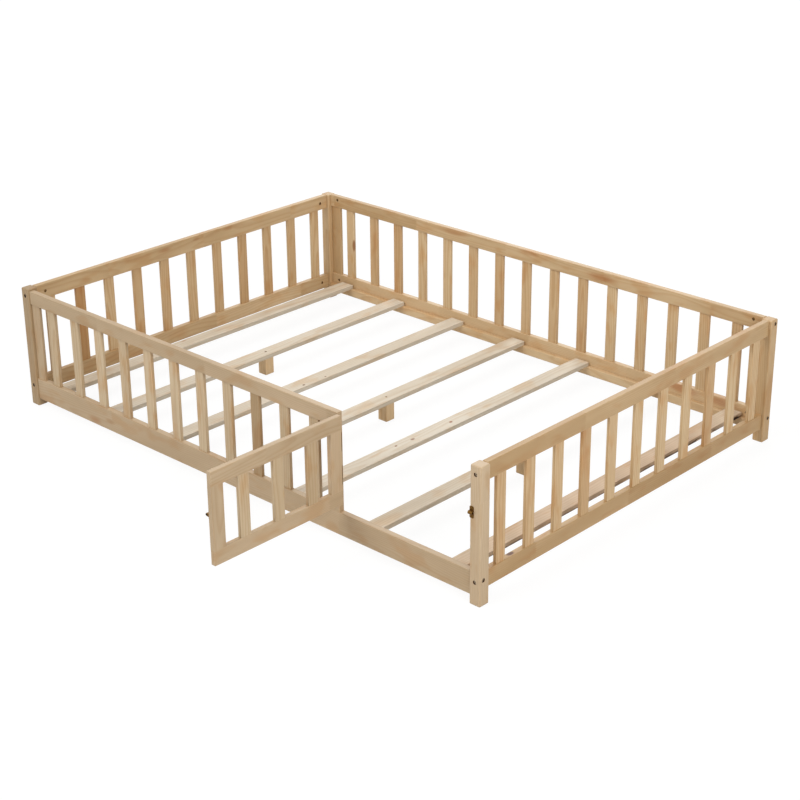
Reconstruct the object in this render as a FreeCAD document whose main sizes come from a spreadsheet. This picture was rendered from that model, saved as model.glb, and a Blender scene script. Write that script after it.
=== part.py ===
import FreeCAD, Part
import math
import os

import Sketcher

# A low floor bed for a toddler: four square posts, two barred end panels, a barred back,
# a barred half fence along the front and a small barred door beside it, with seven slats
# on two ledger strips inside. Millimetres, +Z up, X along the bed, Y towards the back.
# The origin is on the floor, in the middle of the foot under the middle slat. The door
# is modelled standing open and is laid out as if it were shut, then turned on its pins.

# name, value, what it sets
SIZES = [
    ("bed_length", 2010, "overall length over the posts"),
    ("bed_width", 1430, "overall width over the posts"),
    ("post_height", 420, "height of the four posts"),
    ("post_side", 38, "side of a post's square section"),
    ("post_bevel", 2.2, "bevel along a post's long edges and round its top"),
    ("edge_bevel", 1.6, "bevel along the long edges of rails and legs"),
    ("board", 20, "thickness of every rail of the bed frame"),
    ("seat_gap", 0.15, "clearance round a tenon, screw or bolt in its hole"),
    ("tenon_long", 12, "length of the tenon on each end of an upright"),
    ("tenon_thick", 6, "thickness of a tenon"),
    ("tenon_step", 6, "shoulder on each side of a tenon"),
    ("bar_wide", 38, "width of a bar"),
    ("bar_thick", 11, "thickness of a bar"),
    ("end_rail_deep", 52, "depth of the end panels' rails"),
    ("end_rail_low", 46, "height of the end panels' lower rails above the floor"),
    ("end_bars", 11, "bars in one end panel"),
    ("end_bar_pitch", 123.5, "spacing of the end panels' bars"),
    ("end_bar_inset", 2, "set-back of the end bars from the rails' outer face"),
    ("long_inset", 4.5, "set-back of the long rails from the posts' outer faces"),
    ("back_rail_deep", 45, "depth of the back's top rail"),
    ("back_bars", 15, "bars in the back"),
    ("back_bar_pitch", 124.2, "spacing of the back's bars"),
    ("back_stile_wide", 46, "width of the stile against each back post"),
    ("side_rail_low", 27, "height of the two long low rails above the floor"),
    ("front_side_deep", 73, "depth of the front low rail"),
    ("back_side_deep", 77, "depth of the back low rail"),
    ("fence_long", 1438, "length of the front fence from the left post"),
    ("fence_drop", 7, "how far the fence's top lies below the posts' tops"),
    ("fence_rail_deep", 46, "depth of the fence's top rail"),
    ("fence_bars", 11, "bars in the fence"),
    ("fence_bar_first", 102, "centre of the first fence bar from the left post"),
    ("fence_bar_pitch", 123.5, "spacing of the fence's bars"),
    ("fence_stile_wide", 40, "width of the fence's two stiles"),
    ("door_wide", 480, "width of the door"),
    ("door_lift", 34, "gap between the low rail and the door"),
    ("door_thick", 16, "thickness of the door's frame"),
    ("door_rail_deep", 46, "depth of the door's rails"),
    ("door_stile_wide", 42, "width of the door's stiles"),
    ("door_bars", 3, "bars in the door"),
    ("door_bar_pitch", 126, "spacing of the door's bars"),
    ("door_bar_inset", 1, "set-back of the door's bars from its inner face"),
    ("door_open", 90, "angle of the open door in degrees"),
    ("hinge_gap", 3.6, "gap at the hinged edge of the door"),
    ("leaf_thick", 1.4, "thickness of a hinge leaf"),
    ("leaf_deep", 19, "depth of a hinge leaf from the pin"),
    ("knuckle_round", 3.2, "outer radius of the hinge knuckles"),
    ("hinge_clear", 0.3, "clearance round and between the knuckles"),
    ("hinge_tall", 50, "height of a hinge"),
    ("hinge_rise", 17, "height of the lower hinge above the door's low rail"),
    ("hinge_pitch", 103, "spacing of the two hinges"),
    ("pin_round", 1.5, "radius of a hinge pin"),
    ("run_gap", 0.06, "running clearance of a pin or of the bolt"),
    ("latch_rise", 281, "height of the latch above the floor"),
    ("latch_stand", 8.7, "distance of the sliding bolt's axis from the door's face"),
    ("latch_long", 46, "length of the latch's plate and barrel"),
    ("latch_tall", 26, "height of the latch's plate"),
    ("latch_back", 1, "set-back of the latch from the door's free edge"),
    ("plate_thick", 1.2, "thickness of the latch's and keeper's plates"),
    ("barrel_round", 4.4, "outer radius of the latch's barrel"),
    ("rod_round", 2.5, "radius of the sliding bolt"),
    ("rod_travel", 24, "travel of the sliding bolt"),
    ("stem_round", 1.5, "radius of the knob's stem"),
    ("knob_round", 3.2, "radius of the knob"),
    ("knob_reach", 13, "reach of the knob from the bolt's axis"),
    ("keeper_wide", 14, "width of the keeper"),
    ("keeper_tall", 35, "height of the keeper's plate"),
    ("keeper_gap", 0.6, "clearance of the sliding bolt in the keeper"),
    ("slat_wide", 57, "width of a slat"),
    ("slat_thick", 15, "thickness of a slat"),
    ("slat_end_gap", 5.5, "gap between a slat's end and the low rail"),
    ("slat_1", 126, "centre of the first slat from the left end"),
    ("slat_2", 398, "centre of the second slat"),
    ("slat_3", 695, "centre of the third slat"),
    ("slat_4", 984, "centre of the middle slat, over the origin"),
    ("slat_5", 1272, "centre of the fifth slat"),
    ("slat_6", 1578, "centre of the sixth slat"),
    ("slat_7", 1894, "centre of the last slat"),
    ("ledger_low", 36, "height of the ledger strips above the floor"),
    ("ledger_deep", 29, "depth of a ledger strip"),
    ("ledger_thick", 16, "thickness of a ledger strip"),
    ("leg_side", 38, "side of a centre leg's square section"),
    ("shank_round", 2, "radius of a wood screw"),
    ("screw_head", 4, "radius of a wood screw's head"),
    ("screw_head_deep", 2.4, "depth of a wood screw's head"),
    ("leg_screw_long", 40, "length of a leg's screw under its head"),
    ("slat_screw_long", 36, "length of a slat's screw under its head"),
    ("small_shank", 1.5, "radius of a small screw"),
    ("small_head", 2.8, "radius of a small screw's head"),
    ("small_head_deep", 1.2, "depth of a small screw's head"),
    ("small_long", 12, "length of a small screw under its head"),
    ("bolt_round", 3, "radius of a frame bolt"),
    ("bolt_head", 5.5, "radius of a frame bolt's head"),
    ("bolt_head_deep", 4, "depth of a frame bolt's head"),
    ("bolt_sink", 7, "depth of the recess under a frame bolt's head"),
    ("bolt_past", 6, "how far a frame bolt runs past its barrel nut's axis"),
    ("socket_flat", 4, "width across the flats of the bolt's hexagon socket"),
    ("nut_set", 36, "distance of a barrel nut from the rail's end"),
    ("nut_round", 5, "radius of a barrel nut"),
    ("nut_long", 14, "length of a barrel nut"),
    ("low_shift", 8, "height of the long low rails' bolts above the end rails' bolts"),
    ("top_shift", 11.5, "height of the back top rail's bolts over the end rails' bolts"),
    ("fence_shift", 7.5, "depth of the fence rail's bolt under the end rail's bolt"),
    ("hole_sides", 8, "sides of the outline of screws, nuts and their holes"),
    ("head_sides", 12, "sides of the outline of a bolt's head and its recess"),
]

doc = FreeCAD.newDocument("floor_bed")
sheet = doc.addObject("Spreadsheet::Sheet", "Sizes")
for row, (alias, value, _meaning) in enumerate(SIZES, start=1):
    sheet.set("A%d" % row, str(value))
    sheet.setAlias("A%d" % row, alias)
    sheet.set("B%d" % row, _meaning)
doc.recompute()


def ex(text):
    """An expression on the sheet: every name of a size in the text gets the sheet's name."""
    names = sorted((name for name, _v, _m in SIZES), key=len, reverse=True)
    words = []
    word = ""
    for letter in text + " ":
        if letter.isalnum() or letter in "_.":
            word += letter
            continue
        words.append("Sizes." + word if word in names else word)
        words.append(letter)
        word = ""
    return "".join(words).strip()


def number(text):
    """The value of an expression on the sheet."""
    found = sheet.evalExpression(ex(text))
    return float(getattr(found, "Value", found))


# Places along X, Y and Z that more than one piece shares
LEFT = "(-slat_4)"
RIGHT = "(bed_length - slat_4)"
FRONT = "(-bed_width / 2)"
BACK = "(bed_width / 2)"
IN_LEFT = "(%s + post_side)" % LEFT
IN_RIGHT = "(%s - post_side)" % RIGHT
IN_FRONT = "(%s + post_side)" % FRONT
IN_BACK = "(%s - post_side)" % BACK
FRONT_FACE = "(%s + long_inset)" % FRONT
FRONT_IN = "(%s + board)" % FRONT_FACE
BACK_FACE = "(%s - long_inset)" % BACK
BACK_IN = "(%s - board)" % BACK_FACE
END_LEFT_FACE = "(%s + (post_side - board) / 2)" % LEFT
END_RIGHT_FACE = "(%s - (post_side - board) / 2)" % RIGHT
END_TOP = "(post_height - end_rail_deep)"
BACK_TOP = "(post_height - back_rail_deep)"
FRONT_SIDE_TOP = "(side_rail_low + front_side_deep)"
BACK_SIDE_TOP = "(side_rail_low + back_side_deep)"
FENCE_TOP = "(post_height - fence_drop)"
FENCE_RAIL = "(%s - fence_rail_deep)" % FENCE_TOP
FENCE_END = "(%s + fence_long)" % IN_LEFT
PIN_X = "(%s + hinge_gap / 2)" % FENCE_END
PIN_Y = "(%s - knuckle_round - hinge_clear)" % FRONT_FACE
DOOR_NEAR = "(%s + hinge_gap)" % FENCE_END
DOOR_FAR = "(%s + door_wide)" % DOOR_NEAR
DOOR_LOW = "(%s + door_lift)" % FRONT_SIDE_TOP
DOOR_IN = "(%s + door_thick)" % FRONT_FACE
ROD_Y = "(%s - latch_stand)" % FRONT_FACE
LEDGER_TOP = "(ledger_low + ledger_deep)"
SLAT_TOP = "(%s + slat_thick)" % LEDGER_TOP
LOW_BOLT = "(end_rail_low + end_rail_deep / 2)"
TOP_BOLT = "(%s + end_rail_deep / 2)" % END_TOP

ROLE = {"x": "YZ_Plane", "y": "XZ_Plane", "z": "XY_Plane"}
PIECES = {}


class Piece:
    """One sub-part: its body, where its own zero lies when the door is shut, and whether
    it turns with the door."""

    def __init__(self, label, at, on_door=False):
        self.label = label
        self.at = at
        self.on_door = on_door
        self.count = 0
        self.body = doc.addObject("PartDesign::Body", label)
        self.body.Label = label
        self.body.AllowCompound = True
        place(self.body, at, on_door)
        PIECES[label] = self.body

    def name(self, word):
        self.count += 1
        return "%s_%s_%d" % (self.label, word, self.count)

    def local(self, axis, where):
        """A place in the bed as a place in the piece."""
        return "(%s) - (%s)" % (where, self.at["xyz".index(axis)])

    def sketch(self, axis, where):
        """An empty sketch square to an axis, at a place along it."""
        found = self.body.newObject("Sketcher::SketchObject", self.name("sketch"))
        for plane in self.body.Origin.OriginFeatures:
            if plane.Role == ROLE[axis]:
                found.AttachmentSupport = [(plane, "")]
        found.MapMode = "FlatFace"
        away = self.local(axis, where)
        # the XZ plane looks towards -Y
        away = "-(%s)" % away if axis == "y" else away
        found.setExpression("AttachmentOffset.Base.z", ex(away))
        return found

    def renew(self, *features):
        """Builds new features, the last of which becomes the body's tip."""
        self.body.Tip = features[-1]
        for feature in features + (self.body,):
            feature.recompute()

    def add(self, axis, low, high, outline):
        """Adds material between two places along an axis."""
        sketch = self.sketch(axis, low if axis != "y" else high)
        outline(self, sketch)
        pad = self.body.newObject("PartDesign::Pad", self.name("pad"))
        pad.Profile = sketch
        pad.setExpression("Length", ex("(%s) - (%s)" % (high, low)))
        self.renew(sketch, pad)
        return pad

    def cut(self, axis, start, way, depth, outline):
        """Cuts from a place along an axis, towards + or - (way), to a depth."""
        before = self.body.Shape.Volume
        sketch = self.sketch(axis, start)
        outline(self, sketch)
        pocket = self.body.newObject("PartDesign::Pocket", self.name("pocket"))
        pocket.Profile = sketch
        pocket.Reversed = (way > 0) != (axis == "y")
        pocket.setExpression("Length", ex(depth))
        self.renew(sketch, pocket)
        if not self.body.Shape.Volume < before - 1e-6:
            raise ValueError("%s: a cut along %s removed nothing" % (self.label, axis))
        return pocket

    def hole(self, axis, way, where, depth, radius, sides="hole_sides"):
        """Cuts an even-sided hole from a place in the bed, towards + or - (way)."""
        before = self.body.Shape.Volume
        tool = self.body.newObject("PartDesign::SubtractivePrism", self.name("hole"))
        tool.Placement = FreeCAD.Placement(FreeCAD.Vector(), turned(axis, way))
        for side, along in zip("xyz", where):
            tool.setExpression("Placement.Base." + side, ex(self.local(side, along)))
        tool.setExpression("Polygon", ex(sides))
        tool.setExpression("Circumradius", ex(radius))
        tool.setExpression("Height", ex(depth))
        self.renew(tool)
        if not self.body.Shape.Volume < before - 1e-6:
            raise ValueError("%s: a hole along %s removed nothing" % (self.label, axis))

    def repeat(self, features, axis, count, pitch):
        """Repeats features along an axis."""
        pattern = self.body.newObject("PartDesign::LinearPattern", self.name("row"))
        pattern.Originals = features
        for line in self.body.Origin.OriginFeatures:
            if line.Role == axis.upper() + "_Axis":
                pattern.Direction = (line, [""])
        pattern.Mode = "Spacing"
        pattern.setExpression("Offset", ex(pitch))
        pattern.setExpression("Occurrences", ex(count))
        self.renew(pattern)
        return pattern

    def along(self, axis):
        """Names of the tip's straight edges that run along an axis."""
        way = FreeCAD.Vector(*[1 if axis == other else 0 for other in "xyz"])
        names = []
        for index, edge in enumerate(self.body.Tip.Shape.Edges, start=1):
            line = edge.Vertexes[-1].Point - edge.Vertexes[0].Point
            if line.Length > 1e-6 and line.cross(way).Length < 1e-6 * line.Length:
                names.append("Edge%d" % index)
        return names

    def bevel(self, names, size):
        """Bevels edges of the tip."""
        base = self.body.Tip
        done = self.body.newObject("PartDesign::Chamfer", self.name("bevel"))
        done.Base = (base, names)
        done.setExpression("Size", ex(size))
        self.renew(done)


def door_turn():
    """The door's turn from shut to open."""
    return FreeCAD.Rotation(FreeCAD.Vector(0, 0, 1), -number("door_open"))


def place(thing, at, on_door):
    """Ties a thing's placement to the sheet, turned on the hinge pins if it is the door's."""
    x, y, z = at
    if on_door:
        thing.Placement = FreeCAD.Placement(FreeCAD.Vector(), door_turn())
        over = "((%s) - %s)" % (x, PIN_X)
        up = "((%s) - %s)" % (y, PIN_Y)
        cosine = "cos(door_open * 1 deg)"
        sine = "sin(door_open * 1 deg)"
        x = "%s + %s * %s + %s * %s" % (PIN_X, over, cosine, up, sine)
        y = "%s + %s * %s - %s * %s" % (PIN_Y, up, cosine, over, sine)
    thing.setExpression("Placement.Base.x", ex(x))
    thing.setExpression("Placement.Base.y", ex(y))
    thing.setExpression("Placement.Base.z", ex(z))


def flat_axes(axis):
    """The two axes that a sketch square to an axis is drawn in."""
    return {"x": "yz", "y": "xz", "z": "xy"}[axis]


def sketch_axis(sketch):
    """The axis that a sketch is square to."""
    role = sketch.AttachmentSupport[0][0].Role
    return [axis for axis in "xyz" if ROLE[axis] == role][0]


def size_line(sketch, kind, first, end_1, second, end_2, guess, text):
    """A named dimension bound to the sheet."""
    index = sketch.addConstraint(
        Sketcher.Constraint(kind, first, end_1, second, end_2, guess))
    name = "size_%d" % index
    sketch.renameConstraint(index, name)
    sketch.setExpression("Constraints." + name, ex(text))


def box_outline(low, high):
    """A rectangle between two corners, given by their places in the bed."""
    def draw(piece, sketch):
        first, second = flat_axes(sketch_axis(sketch))
        u = piece.local(first, low[0])
        v = piece.local(second, low[1])
        wide = "(%s) - (%s)" % (high[0], low[0])
        tall = "(%s) - (%s)" % (high[1], low[1])
        u0, v0 = number(u), number(v)
        u1, v1 = u0 + number(wide), v0 + number(tall)
        corners = [(u0, v0), (u1, v0), (u1, v1), (u0, v1)]
        corners = [FreeCAD.Vector(a, b, 0) for a, b in corners]
        start = sketch.GeometryCount
        for k in range(4):
            sketch.addGeometry(Part.LineSegment(corners[k], corners[(k + 1) % 4]), False)
        for k in range(4):
            here, after = start + k, start + (k + 1) % 4
            sketch.addConstraint(Sketcher.Constraint("Coincident", here, 2, after, 1))
            level = "Horizontal" if k % 2 == 0 else "Vertical"
            sketch.addConstraint(Sketcher.Constraint(level, here))
        size_line(sketch, "DistanceX", -1, 1, start, 1, u0, u)
        size_line(sketch, "DistanceY", -1, 1, start, 1, v0, v)
        size_line(sketch, "DistanceX", start, 1, start, 2, u1 - u0, wide)
        size_line(sketch, "DistanceY", start + 1, 1, start + 1, 2, v1 - v0, tall)
    return draw


def round_outline(centres, radius):
    """Circles of one radius round the given places in the bed."""
    def draw(piece, sketch):
        first, second = flat_axes(sketch_axis(sketch))
        for place_u, place_v in centres:
            u = piece.local(first, place_u)
            v = piece.local(second, place_v)
            middle = FreeCAD.Vector(number(u), number(v), 0)
            up = FreeCAD.Vector(0, 0, 1)
            index = sketch.addGeometry(Part.Circle(middle, up, number(radius)), False)
            size_line(sketch, "DistanceX", -1, 1, index, 3, middle.x, u)
            size_line(sketch, "DistanceY", -1, 1, index, 3, middle.y, v)
            at = sketch.addConstraint(Sketcher.Constraint("Radius", index, number(radius)))
            sketch.renameConstraint(at, "round_%d" % at)
            sketch.setExpression("Constraints.round_%d" % at, ex(radius))
    return draw


def timber(label, low, high, grain, bevel="edge_bevel", on_door=False):
    """A straight piece of wood between two corners, its long edges bevelled."""
    piece = Piece(label, low, on_door)
    piece.add("z", low[2], high[2], box_outline(low[:2], high[:2]))
    if bevel:
        piece.bevel(piece.along(grain), bevel)
    return piece


def uprights(label, run, low, thick_low, thick, wide, tops, count=None, pitch=None,
             on_door=False, tenons=True):
    """A row of uprights along an axis (run) between a lower and an upper rail, with a
    stub tenon on each end."""
    across = "y" if run == "x" else "x"
    far = "(%s + %s)" % (low, wide)
    thick_high = "(%s + %s)" % (thick_low, thick)
    order = (lambda a, b: (a, b)) if run == "x" else (lambda a, b: (b, a))
    corner = order(low, thick_low)
    piece = Piece(label, (corner[0], corner[1], tops[0]), on_door)
    body = piece.add("z", tops[0], tops[1], box_outline(corner, order(far, thick_high)))
    features = [body]
    if tenons:
        step = "(%s - tenon_thick) / 2" % thick
        inner = order("%s + tenon_step" % low, "%s + %s" % (thick_low, step))
        outer = order("%s - tenon_step" % far, "%s - %s" % (thick_high, step))
        ends = ("%s - tenon_long" % tops[0], "%s + tenon_long" % tops[1])
        features.append(piece.add("z", ends[0], ends[1], box_outline(inner, outer)))
    if count:
        piece.repeat(features, run, count, pitch)
    return piece


def mortises(rail, run, low, thick_low, thick, wide, face, way, count=None, pitch=None):
    """Slots in a rail for the tenons of a row of uprights, cut from its face."""
    order = (lambda a, b: (a, b)) if run == "x" else (lambda a, b: (b, a))
    step = "(%s - tenon_thick) / 2" % thick
    inner = order("%s + tenon_step - seat_gap" % low,
                  "%s + %s - seat_gap" % (thick_low, step))
    outer = order("%s + %s - tenon_step + seat_gap" % (low, wide),
                  "%s + %s - %s + seat_gap" % (thick_low, thick, step))
    slot = rail.cut("z", face, way, "tenon_long + seat_gap", box_outline(inner, outer))
    if count:
        rail.repeat([slot], run, count, pitch)


# ---- the four posts ------------------------------------------------------------------
def post(label, x, y):
    """A square post with bevelled long edges and a bevelled top."""
    low = (x, y, "0")
    high = ("%s + post_side" % x, "%s + post_side" % y, "post_height")
    piece = timber(label, low, high, "z", bevel=None)
    names = piece.along("z")
    top = number("post_height")
    for index, edge in enumerate(piece.body.Tip.Shape.Edges, start=1):
        if all(abs(point.Point.z - top) < 1e-6 for point in edge.Vertexes):
            names.append("Edge%d" % index)
    piece.bevel(names, "post_bevel")
    return piece


POSTS = {
    "post_front_left": post("post_front_left", LEFT, FRONT),
    "post_front_right": post("post_front_right", IN_RIGHT, FRONT),
    "post_back_left": post("post_back_left", LEFT, IN_BACK),
    "post_back_right": post("post_back_right", IN_RIGHT, IN_BACK),
}

# ---- the two end panels --------------------------------------------------------------
END_FIRST = "(-(end_bars - 1) * end_bar_pitch / 2 - bar_wide / 2)"
END_LOW_TOP = "(end_rail_low + end_rail_deep)"


def end_panel(side, rail_x, bar_x):
    """An end panel: two rails between the posts and a row of bars."""
    reach = "%s + board" % rail_x
    top = timber("end_%s_top_rail" % side, (rail_x, IN_FRONT, END_TOP),
                 (reach, IN_BACK, "post_height"), "y")
    low = timber("end_%s_low_rail" % side, (rail_x, IN_FRONT, "end_rail_low"),
                 (reach, IN_BACK, END_LOW_TOP), "y")
    row = ("y", END_FIRST, bar_x, "bar_thick", "bar_wide")
    mortises(top, *row, END_TOP, 1, "end_bars", "end_bar_pitch")
    mortises(low, *row, END_LOW_TOP, -1, "end_bars", "end_bar_pitch")
    uprights("end_%s_bars" % side, *row, (END_LOW_TOP, END_TOP), "end_bars",
             "end_bar_pitch")
    return top, low


left_top, left_low = end_panel("left", END_LEFT_FACE,
                               "(%s + end_bar_inset)" % END_LEFT_FACE)
right_top, right_low = end_panel(
    "right", "(%s - board)" % END_RIGHT_FACE,
    "(%s - end_bar_inset - bar_thick)" % END_RIGHT_FACE)

# ---- the back ------------------------------------------------------------------------
BAR_IN = "(board - bar_thick) / 2"
back_top = timber("back_top_rail", (IN_LEFT, BACK_IN, BACK_TOP),
                  (IN_RIGHT, BACK_FACE, "post_height"), "x")
back_low = timber("back_low_rail", (IN_LEFT, BACK_IN, "side_rail_low"),
                  (IN_RIGHT, BACK_FACE, BACK_SIDE_TOP), "x")
BACK_FIRST = "(%s + bed_length / 2 - (back_bars - 1) * back_bar_pitch / 2 - bar_wide / 2)" % LEFT
BACK_BAR_Y = "(%s + %s)" % (BACK_IN, BAR_IN)
BACK_SPAN = (BACK_SIDE_TOP, BACK_TOP)
back_rows = [
    ("back_bars", BACK_FIRST, "bar_wide", "back_bars", "back_bar_pitch"),
    ("back_stile_left", IN_LEFT, "back_stile_wide", None, None),
    ("back_stile_right", "(%s - back_stile_wide)" % IN_RIGHT, "back_stile_wide", None, None),
]
for label, first, wide, count, pitch in back_rows:
    row = ("x", first, BACK_BAR_Y, "bar_thick", wide)
    mortises(back_top, *row, BACK_TOP, 1, count, pitch)
    mortises(back_low, *row, BACK_SIDE_TOP, -1, count, pitch)
    uprights(label, *row, BACK_SPAN, count, pitch)

# ---- the front low rail and the fence on it ------------------------------------------
front_low = timber("front_low_rail", (IN_LEFT, FRONT_FACE, "side_rail_low"),
                   (IN_RIGHT, FRONT_IN, FRONT_SIDE_TOP), "x")
fence_top = timber("fence_top_rail", (IN_LEFT, FRONT_FACE, FENCE_RAIL),
                   (FENCE_END, FRONT_IN, FENCE_TOP), "x")
FENCE_SPAN = (FRONT_SIDE_TOP, FENCE_RAIL)
FENCE_FIRST = "(%s + fence_bar_first - bar_wide / 2)" % IN_LEFT
fence_rows = [
    ("fence_bars", FENCE_FIRST, "(%s + %s)" % (FRONT_FACE, BAR_IN), "bar_thick",
     "bar_wide", "fence_bars", "fence_bar_pitch"),
    ("fence_stile_left", IN_LEFT, "(%s + %s)" % (FRONT_FACE, BAR_IN), "bar_thick",
     "fence_stile_wide", None, None),
    ("fence_stile_door", "(%s - fence_stile_wide)" % FENCE_END, FRONT_FACE, "board",
     "fence_stile_wide", None, None),
]
FENCE = {}
for label, first, thick_low, thick, wide, count, pitch in fence_rows:
    row = ("x", first, thick_low, thick, wide)
    mortises(fence_top, *row, FENCE_RAIL, 1, count, pitch)
    mortises(front_low, *row, FRONT_SIDE_TOP, -1, count, pitch)
    FENCE[label] = uprights(label, *row, FENCE_SPAN, count, pitch)

# ---- the door ------------------------------------------------------------------------
DOOR_LOW_TOP = "(%s + door_rail_deep)" % DOOR_LOW
DOOR_SPAN = (DOOR_LOW_TOP, FENCE_RAIL)
DOOR_RAIL_TOP = "(%s + door_rail_deep)" % FENCE_RAIL
door_top = timber("door_top_rail", (DOOR_NEAR, FRONT_FACE, FENCE_RAIL),
                  (DOOR_FAR, DOOR_IN, DOOR_RAIL_TOP), "x", on_door=True)
door_low = timber("door_low_rail", (DOOR_NEAR, FRONT_FACE, DOOR_LOW),
                  (DOOR_FAR, DOOR_IN, DOOR_LOW_TOP), "x", on_door=True)
DOOR_FIRST = ("((%s + %s) / 2 - (door_bars - 1) * door_bar_pitch / 2 - bar_wide / 2)"
              % (DOOR_NEAR, DOOR_FAR))
door_rows = [
    ("door_bars", DOOR_FIRST, "(%s - door_bar_inset - bar_thick)" % DOOR_IN, "bar_thick",
     "bar_wide", "door_bars", "door_bar_pitch"),
    ("door_hinge_stile", DOOR_NEAR, FRONT_FACE, "door_thick", "door_stile_wide", None, None),
    ("door_free_stile", "(%s - door_stile_wide)" % DOOR_FAR, FRONT_FACE, "door_thick",
     "door_stile_wide", None, None),
]
DOOR = {}
for label, first, thick_low, thick, wide, count, pitch in door_rows:
    row = ("x", first, thick_low, thick, wide)
    mortises(door_top, *row, FENCE_RAIL, 1, count, pitch)
    mortises(door_low, *row, DOOR_LOW_TOP, -1, count, pitch)
    DOOR[label] = uprights(label, *row, DOOR_SPAN, count, pitch, on_door=True)

# ---- slats, ledger strips and centre legs --------------------------------------------
ledgers = {
    "ledger_front": timber("ledger_front", (IN_LEFT, FRONT_IN, "ledger_low"),
                           (IN_RIGHT, "%s + ledger_thick" % FRONT_IN, LEDGER_TOP), "x",
                           bevel=None),
    "ledger_back": timber("ledger_back", (IN_LEFT, "%s - ledger_thick" % BACK_IN,
                                          "ledger_low"),
                          (IN_RIGHT, BACK_IN, LEDGER_TOP), "x", bevel=None),
}
SLATS = {}
for index in range(1, 8):
    middle = "(%s + slat_%d)" % (LEFT, index)
    SLATS[index] = timber(
        "slat_%d" % index,
        ("%s - slat_wide / 2" % middle, "%s + slat_end_gap" % FRONT_IN, LEDGER_TOP),
        ("%s + slat_wide / 2" % middle, "%s - slat_end_gap" % BACK_IN, SLAT_TOP),
        "y", bevel=None)
LEGS = {}
for label, index in (("leg_left", 2), ("leg_middle", 4), ("leg_right", 6)):
    middle = "(%s + slat_%d)" % (LEFT, index)
    LEGS[label] = timber(
        label, ("%s - leg_side / 2" % middle, "-leg_side / 2", "0"),
        ("%s + leg_side / 2" % middle, "leg_side / 2", LEDGER_TOP), "z")


# ---- loose fasteners: one of each, then copies where the holes are --------------------
def turned(axis, way):
    """The turn that lays a +Z fastener along an axis, its tip towards way."""
    if axis == "z":
        return FreeCAD.Rotation(FreeCAD.Vector(1, 0, 0), 0 if way > 0 else 180)
    if axis == "x":
        return FreeCAD.Rotation(FreeCAD.Vector(0, 1, 0), 90 * way)
    return FreeCAD.Rotation(FreeCAD.Vector(1, 0, 0), -90 * way)


def ring(radius, sides, height):
    """A closed even-sided figure square to Z at a height."""
    turns = [math.tau * k / sides for k in range(sides)]
    points = [FreeCAD.Vector(radius * math.cos(turn), radius * math.sin(turn), height)
              for turn in turns]
    return Part.makePolygon(points + points[:1])


def prism(radius, sides, low, high):
    """An even-sided bar along Z."""
    return Part.Face(ring(radius, sides, low)).extrude(FreeCAD.Vector(0, 0, high - low))


def screw_shape(head, head_deep, shank, long):
    """A screw: a flat head below zero and a pointed shank above it, along +Z."""
    sides = int(number("hole_sides"))
    neck = long - 2 * shank
    point = Part.Vertex(0, 0, long)
    tip = Part.makeLoft([ring(shank, sides, neck), point], True, True)
    return prism(head, sides, -head_deep, 0).fuse([prism(shank, sides, 0, neck), tip])


def bolt_shape(long):
    """A frame bolt with a hexagon socket in its head, along +Z from under the head."""
    deep = number("bolt_head_deep")
    head = prism(number("bolt_head"), int(number("head_sides")), -deep, 0)
    shank = prism(number("bolt_round"), int(number("hole_sides")), 0, long)
    socket = prism(number("socket_flat") / math.sqrt(3), 6, -deep, -deep / 2)
    return head.fuse(shank).cut(socket)


def nut_shape():
    """A barrel nut along Z with its cross hole along X."""
    half = number("nut_long") / 2
    sides = int(number("hole_sides"))
    reach = number("nut_round") * 2
    hole = prism(number("bolt_round + run_gap"), sides, -reach, reach)
    hole.rotate(FreeCAD.Vector(), FreeCAD.Vector(0, 1, 0), 90)
    return prism(number("nut_round"), sides, -half, half).cut(hole)


GROUPS = {}


def keep(label, shape, where, turn, on_door=False):
    """Adds a copy of a fastener at a place in the bed to the group of that name."""
    copy = shape.copy()
    copy.Placement = FreeCAD.Placement(FreeCAD.Vector(*[number(w) for w in where]), turn)
    if on_door:
        pin = FreeCAD.Vector(number(PIN_X), number(PIN_Y), 0)
        copy.Placement = FreeCAD.Placement(
            pin - door_turn().multVec(pin), door_turn()).multiply(copy.Placement)
    GROUPS.setdefault(label, []).append(copy)


def moved(where, axis, way, distance):
    """A place moved along an axis."""
    index = "xyz".index(axis)
    sign = "+" if way > 0 else "-"
    shifted = list(where)
    shifted[index] = "(%s) %s (%s)" % (where[index], sign, distance)
    return tuple(shifted)


def wood_screws(label, near, far, axis, way, places, near_thick, long):
    """Screws through one piece into the next, heads let in flush, with their holes."""
    shape = screw_shape(number("screw_head"), number("screw_head_deep"),
                        number("shank_round"), number(long))
    past = "%s + screw_head_deep + seat_gap - (%s)" % (long, near_thick)
    for where in places:
        near.hole(axis, way, where, "screw_head_deep", "screw_head + seat_gap")
        near.hole(axis, way, where, near_thick, "shank_round + seat_gap")
        far.hole(axis, way, moved(where, axis, way, near_thick), past,
                 "shank_round + seat_gap")
        keep(label, shape, moved(where, axis, way, "screw_head_deep"), turned(axis, way))


def small_screws(label, plate, wood, axis, way, places, thick, sunk=False, on_door=False):
    """Small screws through a metal plate into wood, with their holes."""
    shape = screw_shape(number("small_head"), number("small_head_deep"),
                        number("small_shank"), number("small_long"))
    wide = "small_head + run_gap" if sunk else "small_shank + seat_gap"
    for where in places:
        seat = moved(where, axis, way, thick)
        plate.hole(axis, way, where, thick, wide)
        wood.hole(axis, way, seat, "small_long + seat_gap", "small_shank + seat_gap")
        keep(label, shape, seat if sunk else where, turned(axis, way), on_door)


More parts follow.
